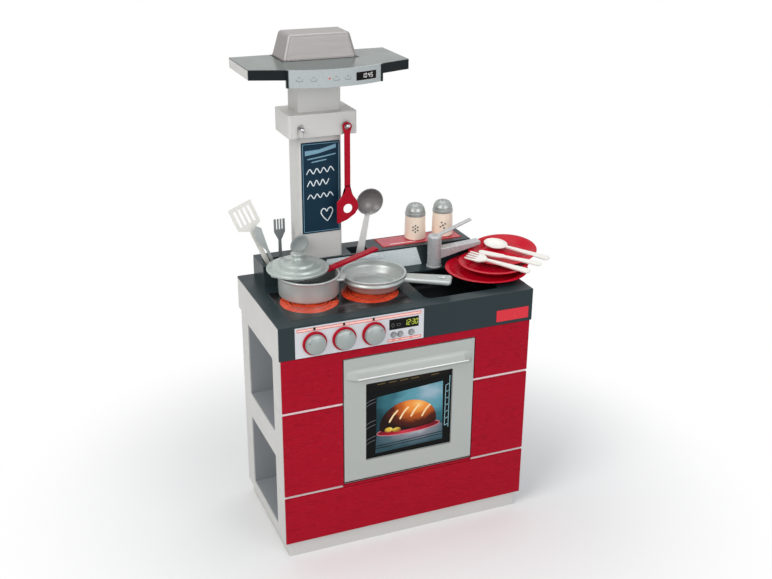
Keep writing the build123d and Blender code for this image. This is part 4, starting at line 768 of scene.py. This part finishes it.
lathe(bm, upright(*POT_AT), [(r * POT_WIDER, h) for r, h in pot_outer + pot_inner], 96)
for way in (0.0, 180.0):
    turn = math.radians(EAR_TURN + way)
    out = Vector((math.cos(turn), math.sin(turn), 0.0))
    root = Vector(POT_AT) + out * EAR_AT + Vector((0, 0, POT_TOP - 6.2))
    slab(bm, laid(root, root + out, (0, 0, 1)), ear, -2.4, 2.0, 0.9)
modelled("pot_round_footed", bm, DISH, ["pot"], "saucepan", 50.0)

# cooking spoon: a flat bar from under the lid over the rim, its head down in the pot
BAR_START = (-124.0, -3.0, 506.1)
BAR_END = (2.5, 42.0, 519.6)
BAR_HEAD = (-150.0, 22.0, 488.0)
bm = bmesh.new()
for end, face, back, half, corner in ((BAR_END, (0, 0, 1), 0.0, 7.2, 2.4),
                                      (BAR_HEAD, (0.7, -0.4, 0.6), -2.0, 6.0, 2.0)):
    long = (Vector(end) - Vector(BAR_START)).length
    slab(bm, laid(BAR_START, end, face), oblong(back, long, -half, half, corner), -2.4, 2.4, 0.8)
modelled("cooking_spoon_flat", bm, RED_DEEP, ["pot_spoon"], "cooking_spoon")

# pan: bulging band under the rim, flat handle with a hanging hole
PAN_AT = (-24.0, -9.0, 467.7)
PAN_TOP = 28.4
PAN_TURN = -31.0
GRIP_AT = 58.8  # where the handle starts, from the pan's axis
GRIP_LONG = 86.0
pan_outer = [(0.0, 0.0), (44.0, 0.0), (47.5, 0.8), (52.0, 6.5), (56.6, 14.6)]
pan_outer += arc(57.6, 18.6, 3.2, -55, 55, 6) + [(59.0, 22.8), (59.4, 25.2)]
pan_outer += arc(60.0, PAN_TOP - 1.2, 1.2, -40, 110, 6)
pan_inner = [(57.4, PAN_TOP - 0.8), (57.0, 25.0), (57.4, 20.6), (56.4, 16.8), (54.0, 14.6), (50.0, 7.4),
             (45.4, 2.4), (42.0, 2.0), (34.0, 2.0), (33.0, 2.9), (0.0, 2.9)]
bend = GRIP_LONG - 7
grip = [(0.0, -14.0), (bend, -16.6)] + arc(bend, -9.8, 7.0, -75, 0, 5) + arc(bend, 9.8, 7.0, 0, 75, 5)
grip += [(bend, 16.6), (0.0, 14.0)]
bm = bmesh.new()
lathe(bm, upright(*PAN_AT), pan_outer + pan_inner, 96)
turn = math.radians(PAN_TURN)
along = Vector((math.cos(turn), math.sin(turn), 0.0))
root = Vector(PAN_AT) + along * GRIP_AT + Vector((0, 0, PAN_TOP - 8.6))
place = laid(root, root + along, (0, 0, 1))
holed_slab(bm, place, grip, (GRIP_LONG - 18.0, 0.0), (8.0, 5.0), -4.6, 4.0, 2.0)
modelled("pan_with_band", bm, DISH, ["pan"], "frying_pan", 50.0)

# white cutlery, cut from flat stock and softened
CUTLERY_T = 3.8
CUTLERY_FACE = (-0.12, -0.26, 1.0)
NECK = 2.9  # half width of each handle at its neck
FORK_END = SPOON_END = 6.6  # and at its end
KNIFE_END = 6.4
TINES = 4
SPOON_DEPTH = 7.0
SPOON_WALL = 1.4
FORK_LINE = ((174.5, 3.8, 496.8), (248.5, -107.0, 492.0))
KNIFE_LINE = ((205.0, 15.0, 495.2), (287.3, -82.0, 492.2))
SPOON_LINE = ((237.4, 53.0, 499.8), (311.6, -68.6, 495.2))


def grip_end(start, long, wide):
    """Upper half of a handle that widens to a rounded end."""
    return [(start, NECK), (long - 4, wide)] + arc(long - 4, wide - 4, 4.0, 75, 15, 4)


def fork(bm, place, long, thick, wide, head):
    slab(bm, place, mirrored(grip_end(head - 2, long, FORK_END)), -thick / 2, thick / 2, 0.5)
    palm = [(head * 0.5, wide), (head * 0.72, wide * 0.96), (head - 2, NECK + 1.4), (head, NECK)]
    slab(bm, place, mirrored(palm), -thick / 2, thick / 2, 0.5)
    pitch = 2 * wide / (TINES - 0.45)
    half = pitch * 0.55 / 2
    for k in range(TINES):
        v = wide - half - k * pitch
        tine = [(head * 0.54, v + half), (3.0, v + half * 0.8), (0.0, v), (3.0, v - half * 0.8),
                (head * 0.54, v - half)]
        slab(bm, place, tine, -thick * 0.4, thick * 0.4, 0.4)


def knife(bm, place, long, thick, wide, blade):
    upper = grip_end(blade, long, KNIFE_END)
    back = [(blade - 3, wide * 0.8), (wide, wide * 0.85), (2.0, wide * 0.5), (0.0, 0.0)]
    belly = [(1.5, -wide * 0.4), (wide, -wide), (blade * 0.5, -wide * 1.15), (blade * 0.85, -wide * 0.9)]
    ring = upper[::-1] + back + smooth_line(belly, 4) + [(a, -w) for a, w in upper]
    slab(bm, place, ring, -thick / 2, thick / 2, 0.5)


def spoon(bm, place, long, thick, wide, cup):
    def shell(a, b, h):
        return place(cup / 2 + a * cup / (2 * wide), b, h)

    def bowl(wall, degrees):
        turns = [math.radians(d) for d in degrees]
        return [((wide - wall) * math.sin(t), thick / 2 - (SPOON_DEPTH - wall) * math.cos(t)) for t in turns]
    outer = bowl(0.0, range(0, 91, 10))
    inner = bowl(SPOON_WALL, range(80, -1, -10))
    lathe(bm, shell, outer + [(wide - 0.5, thick / 2 + 0.5), (wide - 1.2, thick / 2 + 0.2)] + inner, 64)
    slab(bm, place, mirrored(grip_end(cup - 1.5, long, SPOON_END)), -thick / 2, thick / 2, 0.5)


for name, node, body, line, form, wide, head in (
        ("white_fork_flat", "cutlery_fork", "white_fork", FORK_LINE, fork, 12.8, 44.0),
        ("white_knife_flat", "cutlery_knife", "white_knife", KNIFE_LINE, knife, 5.8, 54.0),
        ("white_spoon_bowled", "cutlery_spoon", "white_spoon", SPOON_LINE, spoon, 16.6, 50.0)):
    bm = bmesh.new()
    long = (Vector(line[1]) - Vector(line[0])).length
    form(bm, laid(*line, CUTLERY_FACE), long, CUTLERY_T, wide, head)
    modelled(name, bm, WHITE, [node], body)

# oven door: its own frame with a handle that spans the whole width
DOOR_FACE_Y = -130.5
HANDLE_HALF = 124.5
HANDLE_END = 19.0  # length of each tapered end
HANDLE_OUT = 11.0
HANDLE_TOP_Z = 367.0
HANDLE_TIP = -0.4  # reach at the handle's two tips, just inside the door's face
NOSE_CUT = (-108.0, 108.0, -143.0, -130.5, 330.0, 385.0)
SCOOP_FILL = (-107.5, 107.5, -130.5, -124.6, 350.0, 380.0)


def node_mesh(name):
    """A CAD node's mesh in place, with its corners joined."""
    bm = bmesh.new()
    bm.from_mesh(NODES[name].data)
    bm.transform(NODES[name].matrix_world)
    bmesh.ops.remove_doubles(bm, verts=bm.verts, dist=1e-6)
    return bm


def join_solids(base, tools):
    """Cut or join solids to base in turn and return the result."""
    body = linked("body", base)
    helpers = []
    for operation, bm in tools:
        bmesh.ops.recalc_face_normals(bm, faces=bm.faces)
        helpers.append(linked("helper", bm))
        modifier = body.modifiers.new(operation, "BOOLEAN")
        modifier.operation = operation
        modifier.solver = "EXACT"
        modifier.object = helpers[-1]
    graph = bpy.context.evaluated_depsgraph_get()
    out = bmesh.new()
    out.from_mesh(bpy.data.meshes.new_from_object(body.evaluated_get(graph)))
    for obj in [body] + helpers:
        bpy.data.objects.remove(obj)
    return out


def block(x0, x1, y0, y1, z0, z1):
    bm = bmesh.new()
    ring = oblong(x0, x1, y0, y1)
    layers(bm, lambda u, v, h: Vector((u, v, h)) * MM, [(ring, z0), (ring, z1)])
    return bm


def hollow_reach(part):
    """How far the handle stands out at a part of its hollow upper face, 0 at the top and 1 at the edge."""
    return 9.8 * (1 - math.cos(math.pi / 2 * part)) * 0.86 + 9.8 * 0.14 * part


side = [(hollow_reach(k / 9), HANDLE_TOP_Z - 15.0 * k / 9) for k in range(10)]
side[0] = (-0.3, HANDLE_TOP_Z)
side += [(10.6, 351.6), (11.0, 350.6), (11.0, 348.8), (10.6, 347.9), (9.6, 347.2), (-0.3, 339.5),
         (-3.0, 339.5), (-3.0, HANDLE_TOP_Z)]
stations = []
for x in (-HANDLE_HALF, -HANDLE_HALF + HANDLE_END, HANDLE_HALF - HANDLE_END, HANDLE_HALF):
    reach = HANDLE_OUT * min(1.0, (HANDLE_HALF - abs(x)) / HANDLE_END) or HANDLE_TIP
    stations.append(([(min(d, reach), z) for d, z in side], x))
nose = bmesh.new()
layers(nose, lambda d, z, x: Vector((x, DOOR_FACE_Y - d, z)) * MM, stations)
tools = [("DIFFERENCE", block(*NOSE_CUT)), ("UNION", block(*SCOOP_FILL)), ("UNION", nose)]
bm = join_solids(node_mesh("door_frame"), tools)
bmesh.ops.dissolve_degenerate(bm, edges=bm.edges, dist=1e-6)
modelled("door_with_wide_handle", bm, DOOR, ["door_frame"], "oven_door", 12.0)

handle_face = ("oven_door", front_plane(DOOR_FACE_Y - HANDLE_OUT))
# painted highlight: a near-white strip along the top of the handle's nose stands in for the light it catches
sheet("handle_painted_highlight", handle_face, [oblong(-105.0, 112.0, 349.0, 350.9, 0.4)],
      moulded("handle_painted_highlight_ink", (246, 248, 246), 0.2, bump=0.03), 0.2)

# hanging spoon: its own handle with a cornered head and an eye
SPOON_BACK_Y = 49.0
SPOON_HEAD_T = 3.2
HEAD_CUT = (-90.0, -20.0, 40.0, 56.0, 560.0, 645.0)
HEAD = [(-73.0, 617.0), (-73.0, 579.0), (-72.4, 577.0), (-70.4, 576.2), (-53.0, 582.0), (-38.0, 592.0),
        (-32.6, 600.0), (-31.4, 607.0), (-33.6, 616.0), (-42.0, 628.0), (-46.2, 638.0), (-47.0, 648.0),
        (-57.2, 648.0), (-58.0, 638.0), (-64.0, 627.0)]

hook_face = front_plane(SPOON_BACK_Y)
head = bmesh.new()
slab(head, hook_face, HEAD, 0.0, SPOON_HEAD_T, 0.8)
eye_ring = disc(-52.0, 603.2, 9.0, steps=40)
eye = bmesh.new()
layers(eye, hook_face, [(eye_ring, -4.0), (eye_ring, 8.0)])
tools = [("DIFFERENCE", block(*HEAD_CUT)), ("UNION", head), ("DIFFERENCE", eye)]
bm = join_solids(node_mesh("corner_spoon"), tools)
bmesh.ops.dissolve_degenerate(bm, edges=bm.edges, dist=1e-5)
modelled("corner_spoon_headed", bm, RED_DEEP, ["corner_spoon"], "hanging_spoon", 20.0)

# oven picture: a loaf in a dish before a lit wall
pane = ("oven_door", front_plane(PANE_Y))
sheet("oven_wall", pane, [[(-64, 221), (69, 222), (68, 309), (-64, 300)]],
      lit_print("oven_wall_print", (38, 290), (112, 84),
                [(150, 176, 190), (92, 150, 164), (52, 104, 116), (26, 58, 66)], 22.0), 0.14, 0.08)
sheet("oven_floor", pane, [[(-66, 184), (70, 187), (69, 222), (-64, 221)]],
      lit_print("oven_floor_print", (18, 214), (96, 30),
                [(176, 178, 184), (120, 124, 134), (74, 98, 108), (48, 74, 84)], 30.0), 0.14, 0.08)
sheet("oven_vent", pane, [[(-84, 312), (84, 322), (84, 331.5), (-84, 331.5)]],
      lit_print("oven_vent_print", (0, 330), (90, 18), [(44, 36, 28), (26, 22, 19), (12, 12, 12)], 60.0),
      0.14, 0.08)
slots = [[(x, 324.5), (x + 15, 325.3), (x + 15, 327.3), (x, 326.5)] for x in (-62, -40, -18, 4, 44)]
sheet("oven_vent_slots", pane, slots, ink("vent_olive", (96, 84, 50), 0.5, IOR=1.2), 0.20, 0.14)
rail_ink = ink("rail_teal", (126, 170, 178), 0.4, spread=0.2)
side_rails = [[(73.5, 214), (74.2, 300)], [(81.0, 210), (82.0, 318)]]
side_rails += [[(73.6, v), (81.4, v + 3.5)] for v in range(214, 299, 14)]
outline("oven_rails_right", pane, side_rails, 1.5, rail_ink, 0.16, 0.08, closed=False)
wires = [[(-85, v), (-76, v + 4.5), (-66, v + 7.0)] for v in (206, 214, 238, 247, 284, 291)]
outline("oven_rails_left", pane, wires, 1.1, ink("rail_grey", (92, 98, 104), 0.5), 0.16, 0.08, closed=False)
wires = [[(-66, v), (0, v + 2.0), (70, v + 4.5)] for v in (193.5, 198.5)]
outline("oven_shelf_wires", pane, wires, 1.5, BLACK_INK_AND_PAINTED_SHADOW, 0.22, 0.14, closed=False)
dish_ring = disc(0.0, 224.0, 9.5, 63.0, 48)
sheet("oven_dish", pane, [dish_ring],
      lit_print("dish_print", (-6, 218), (66, 12), [(196, 60, 78), (158, 26, 44), (112, 18, 32)], 40.0),
      0.22, 0.16)
loaf = []
for a in range(0, 360, 8):
    rise = math.sin(math.radians(a))
    loaf.append((57 * math.cos(math.radians(a)) - 1, 236 + 46 * rise if rise > 0 else 231 + 9 * rise))
sheet("oven_loaf", pane, [loaf],
      lit_print("loaf_crust", (18, 272), (74, 52),
                [(248, 190, 110), (234, 142, 62), (178, 84, 32), (70, 28, 20), (30, 16, 14)], 34.0, 0.36),
      0.30, 0.22)
slashes = [smooth_line([(x - 9, 243 + low), (x - 1, 256 + low), (x + 9, 266 + low)])
           for x, low in ((-30, 0), (-9, 3), (13, 4), (35, 0))]
crumb = ink("loaf_crumb", (246, 214, 160), 0.5, spread=0.12)
outline("loaf_slashes", pane, slashes, 3.6, crumb, 0.36, 0.30, closed=False, taper=0.8)
sheet("oven_rolls", pane, [disc(-40.0, 228.5, 5.2, 8.0), disc(-24.0, 225.5, 5.0, 8.4)],
      lit_print("roll_print", (-32, 230), (18, 8), [(240, 222, 120), (214, 176, 66), (150, 100, 40)], 60.0),
      0.42, 0.36)
outline("dish_rim", pane, [dish_ring], 1.3, ink("dish_edge", (214, 110, 122), 0.4), 0.26, 0.22)


# dots of the shakers: a flower on each
SHAKER_DOTS_Z = 529.0
SHAKER_FACING = -112.0  # the way the flowers look, in degrees


def wrapped(node, cx, cy, facing_angle):
    """Place (u, v, w) on the skin of an upright round node: u runs round it, v is the height."""
    tree = BVHTree.FromPolygons([v.co for v in NODES[node].data.vertices],
                                [p.vertices[:] for p in NODES[node].data.polygons])

    def place(u, v, w):
        angle = math.radians(facing_angle) + u / SHAKER_R
        out = Vector((math.cos(angle), math.sin(angle), 0.0))
        start = Vector((cx, cy, v)) * MM + out * 3 * SHAKER_R * MM
        hit = tree.ray_cast(start, -out)[0]
        return hit + out * w * MM
    return place


DOT_INK = ink("dot_grey", (86, 86, 88), 0.4)
for name, node, body, cx, petals in (
        ("left_shaker_dots", "shaker_left", "first_shaker", SHAKER_X[0], 6),
        ("right_shaker_dots", "shaker_right", "second_shaker", SHAKER_X[1], 4)):
    turns = [math.tau * k / petals + 0.5 for k in range(petals)]
    rings = [disc(5.2 * math.cos(a), SHAKER_DOTS_Z + 6.4 * math.sin(a), 1.7, steps=14) for a in turns]
    rings.append(disc(0.0, SHAKER_DOTS_Z, 1.9, steps=14))
    sheet(name, (body, wrapped(node, cx, SHAKER_Y, SHAKER_FACING)), rings, DOT_INK, 0.2, -0.1)

# control panel: stripes, display and button rings
panel = ("cabinet", front_plane(PANEL_Y))
sheet("stripe_upper", panel, [oblong(-212, 18, 455.2, 459.6)], INK_SALMON, 0.10)
sheet("stripe_lower", panel, [oblong(-45, 18.5, 409.2, 413.0)], INK_SALMON, 0.10)
lines = [(-212.6, 18.6, 454.6, 460.2), (-45.6, 19.1, 408.6, 413.6)]
framed("stripe_lines", panel, lines, 1.1, INK_RED, 0.16)
ticks = [oblong(x - 2.0, x + 2.0, 455.4, 460.6, 0.5) for x in KNOB_X]
sheet("stripe_ticks", panel, ticks, BLACK_INK_AND_PAINTED_SHADOW, 0.22)
marks = [oblong(x - 2.6 + k * 1.9, x - 1.5 + k * 1.9, 410.2, 412.2) for x in BUTTON_X for k in range(3)]
sheet("button_marks", panel, marks, INK_RED, 0.22)
sheet("display", panel, [oblong(-42.5, 14.0, 431.5, 451.5, 0.6)], BLACK_INK_AND_PAINTED_SHADOW, 0.14)
digits = number("1230", (-14.0, -7.6, 0.6, 7.0), 436.5, 4.9, 10.5, 1.15)
digits += [oblong(-0.95, 0.05, 439.3, 440.5), oblong(-0.65, 0.35, 443.3, 444.5)]
sheet("display_digits", panel, digits, INK_GREEN, 0.24)
symbols = [disc(-35.5, 440.0, 3.4, 2.4), disc(-24.5, 440.0, 2.4, 3.6)]
outline("display_symbols", panel, symbols, 0.7, INK_DIM, 0.22)
outline("button_sockets", panel, [disc(x, 421.5, 5.6) for x in BUTTON_X], 0.7, BLACK_INK_AND_PAINTED_SHADOW, 0.25)

# painted highlights: pale pinkish lines in the grooves for the glare on their up-facing chamfers; and the
# bare red plate
groove = ("cabinet", front_plane(GROOVE_Y))
GROOVE_HIGHLIGHT_PAINT = ink("groove_painted_highlight", (236, 214, 218), 0.5)
for name, low, high in (("groove_upper_highlight", 297.9, 302.1), ("groove_lower_highlight", 127.8, 128.8)):
    pair = [oblong(-241.0, -129.6, low, high), oblong(129.6, 241.0, low, high)]
    sheet(name, groove, pair, GROOVE_HIGHLIGHT_PAINT, 0.5)
front = ("cabinet", front_plane(FRONT_Y))
sheet("name_plate_bare", front, [oblong(171.0, 237.0, 411.5, 434.0, 1.2)], RED_PLATE, 0.5)


# ledge: a pale sheet on the sloping front, a painted reflection of the white surroundings on its glossy face
def slope_place(u, v, w):
    """Place on the ledge's sloping front: v runs up the slope from the worktop."""
    lean = math.atan2(*LEDGE_SLOPE)
    y = LEDGE_FOOT[0] + v * math.sin(lean) - w * math.cos(lean)
    z = LEDGE_FOOT[1] + v * math.cos(lean) + w * math.sin(lean)
    return Vector((u, y, z)) * MM


plate_ring = [(-96, 0.5), (105, 0.5), (96, 34.6), (-87, 34.6)]
sheet("ledge_reflection_sheet", ("cabinet", slope_place), [plate_ring], LEDGE_REFLECTION_PAINT, 0.4)

# dark printed lines around the glowing fields, and a black painted shadow line along the chimney's foot
hob = ("cabinet", upright(0.0, 0.0, HOB_Z))
circles = [disc(cx, cy, r, steps=72) for cx, cy in BURNERS for r in (41.0, 28.0, 22.5)]
outline("hob_lines", hob, circles, 0.9, ink("hob_line", (96, 24, 16), 0.3, IOR=1.2), 0.05)
canopy_top = ("cabinet", upright(0.0, 0.0, CANOPY_TOP_Z))
foot_shadow = [(-164.8, 132.0), (-164.8, 59.7), (-25.2, 59.7), (-25.2, 132.0)]
outline("chimney_foot_shadow", canopy_top, [foot_shadow], 2.4, BLACK_INK_AND_PAINTED_SHADOW, 0.4, closed=False)

# red inlay on top of the ledge
inlay = ("cabinet", upright(0.0, 0.0, INLAY_Z))
inlay_pink = ink("inlay_pink", (184, 52, 70), 0.3)
sheet("inlay_field", inlay, [oblong(37.0, 195.0, 85.0, 123.0)], inlay_pink, 0.12)
inlay_line = ink("inlay_line", (232, 150, 150))
framed("inlay_border", inlay, [(35.4, 196.6, 83.4, 124.6)], 1.0, inlay_line, 0.18)
inlay_white = ink("inlay_white", (246, 226, 224))
glint = [(50, 89.5), (80, 89.8), (104, 90.0)]
outline("inlay_highlight", inlay, [glint], 2.4, inlay_white, 0.24, closed=False)

# chalkboard
ROW_RISE = 0.06  # slope of the written rows
board = ("cabinet", front_plane(BOARD_Y))
framed("board_line", board, [(-129.6, -60.4, 557.6, 724.4)], 0.9, CHALK_DIM, 0.10)


def chalk(name, strokes, width, mat=CHALK):
    lines = [smooth_line(s) if len(s) > 2 else s for s in strokes]
    outline(name, board, lines, width, mat, 0.14, closed=False, taper=0.4)


heart = [(-84, 576), (-92, 585), (-96, 593), (-93.5, 599.5), (-88.5, 600), (-85, 595), (-82, 600),
         (-76.5, 601.5), (-73.5, 596), (-76.5, 587), (-84, 576)]
chalk("chalk_heart", [heart], 2.0)
rows = []
for base, first, last, tall in ((668, -123, -70, 9), (645, -122, -80, 10), (621, -122, -72, 8)):
    count = int((last - first) / 6)
    step = (last - first) / count
    rows.append([(first + k * step, base + tall * (k % 2) + ROW_RISE * 6 * k) for k in range(count + 1)])
chalk("chalk_rows", rows, 1.8)
underline = [[(-121, 696), (-95, 699), (-66, 703)], [(-113, 690), (-98, 692), (-84, 693.5)]]
chalk("chalk_underline", underline, 2.2, CHALK_DIM)
header = [(-125, 703), (-100, 706), (-66, 714), (-66, 721), (-98, 713), (-125, 712)]
sheet("chalk_header", board, [header], CHALK_DIM, 0.10)

# hood strip: display and icons
strip = ("cabinet", strip_place)
fields = [oblong(x, x + 5.0, 853.5, 867.5) for x in range(-63, -27, 5)]
sheet("hood_display", strip, fields, BLACK_INK_AND_PAINTED_SHADOW, 0.16)
digits = number("1045", (-52.5, -47.0, -40.5, -35.0), 857.0, 4.2, 7.5, 0.9)
sheet("hood_digits", strip, digits, INK_WHITE, 0.26, 0.16)
icons = []
for x in (-161.0, -138.0, -99.5, -78.5):
    icons.append([(x - 5.5, 861), (x - 4.4, 857.6), (x, 857.0), (x + 4.4, 857.6), (x + 5.5, 861)])
    icons.append([(x - 2, 862.4), (x, 864.4), (x + 2, 862.4)])
outline("hood_icons", strip, icons, 1.0, INK_GREY, 0.14, closed=False)
sheet("hood_lamp", strip, [disc(-111.5, 861.0, 1.5)], INK_RED, 0.3)


# ---------- studio

scene = bpy.context.scene
scene.view_settings.view_transform = "Standard"


def direct_rays(nt):
    """One for camera, glossy and transmission rays, zero for those that only light the part."""
    path = nt.nodes.new("ShaderNodeLightPath").outputs
    seen = path["Is Camera Ray"]
    for kind in ("Is Glossy Ray", "Is Transmission Ray"):
        seen = add_node(nt, "ShaderNodeMath", {0: seen, 1: path[kind]}, operation="MAXIMUM").outputs[0]
    return seen


def make_world():
    """Bluish light on the part, plain white behind it."""
    world = bpy.data.worlds.new("studio")
    scene.world = world
    world.use_nodes = True
    nt = world.node_tree
    nt.nodes.clear()
    soft = add_node(nt, "ShaderNodeBackground", {"Color": (0.93, 0.96, 1.0, 1.0), "Strength": 0.42})
    white = add_node(nt, "ShaderNodeBackground", {"Color": (1.0, 1.0, 1.0, 1.0), "Strength": 1.0})
    ways = {0: direct_rays(nt), 1: soft.outputs[0], 2: white.outputs[0]}
    mix = add_node(nt, "ShaderNodeMixShader", ways)
    add_node(nt, "ShaderNodeOutputWorld", {0: mix.outputs[0]})


make_world()

FLOOR_HALF = 7.0
FLOOR_FADE = (0.35, 0.8)  # distances between which the floor turns to plain white


def make_floor():
    """A sheet of paper that takes the part's shadow and fades to white around it."""
    bm = bmesh.new()
    bmesh.ops.create_grid(bm, x_segments=24, y_segments=24, size=FLOOR_HALF)
    floor = linked("floor", bm)
    t = Tree("floor_paper", Specular_IOR_Level=0.1, Roughness=0.9)
    floor.data.materials.append(t.mat)
    t.to("Base Color", t.mix(t.noise(3.0), (0.86, 0.86, 0.86, 1), (0.88, 0.88, 0.88, 1)))
    glow = t.node("ShaderNodeEmission", {"Color": (1, 1, 1, 1)})
    x, y, _ = t.axes()
    fade = t.span(t.reach(x, y), *FLOOR_FADE)
    ways = {0: t.times(fade, direct_rays(t.nt)), 1: t.bsdf.outputs[0], 2: glow.outputs[0]}
    t.nt.links.new(t.node("ShaderNodeMixShader", ways).outputs[0], t.out.inputs[0])


make_floor()


def area_light(name, place, aim, size, power, colour=(1, 1, 1)):
    data = bpy.data.lights.new(name, "AREA")
    data.shape = "RECTANGLE"
    data.size, data.size_y = size
    data.energy = power
    data.color = colour
    lamp = bpy.data.objects.new(name, data)
    scene.collection.objects.link(lamp)
    lamp.location = place
    lamp.rotation_euler = (Vector(aim) - Vector(place)).to_track_quat("-Z", "Y").to_euler()


area_light("key", (-2.2, -1.2, 2.2), (-0.05, 0.0, 0.5), (1.6, 1.6), 46.0, (1.0, 0.98, 0.95))
area_light("front", (0.7, -2.6, 1.5), (0.0, 0.0, 0.45), (1.8, 1.4), 24.0, (0.97, 0.98, 1.0))
area_light("top", (0.1, 0.3, 2.6), (0.0, 0.0, 0.5), (1.6, 1.6), 18.0)
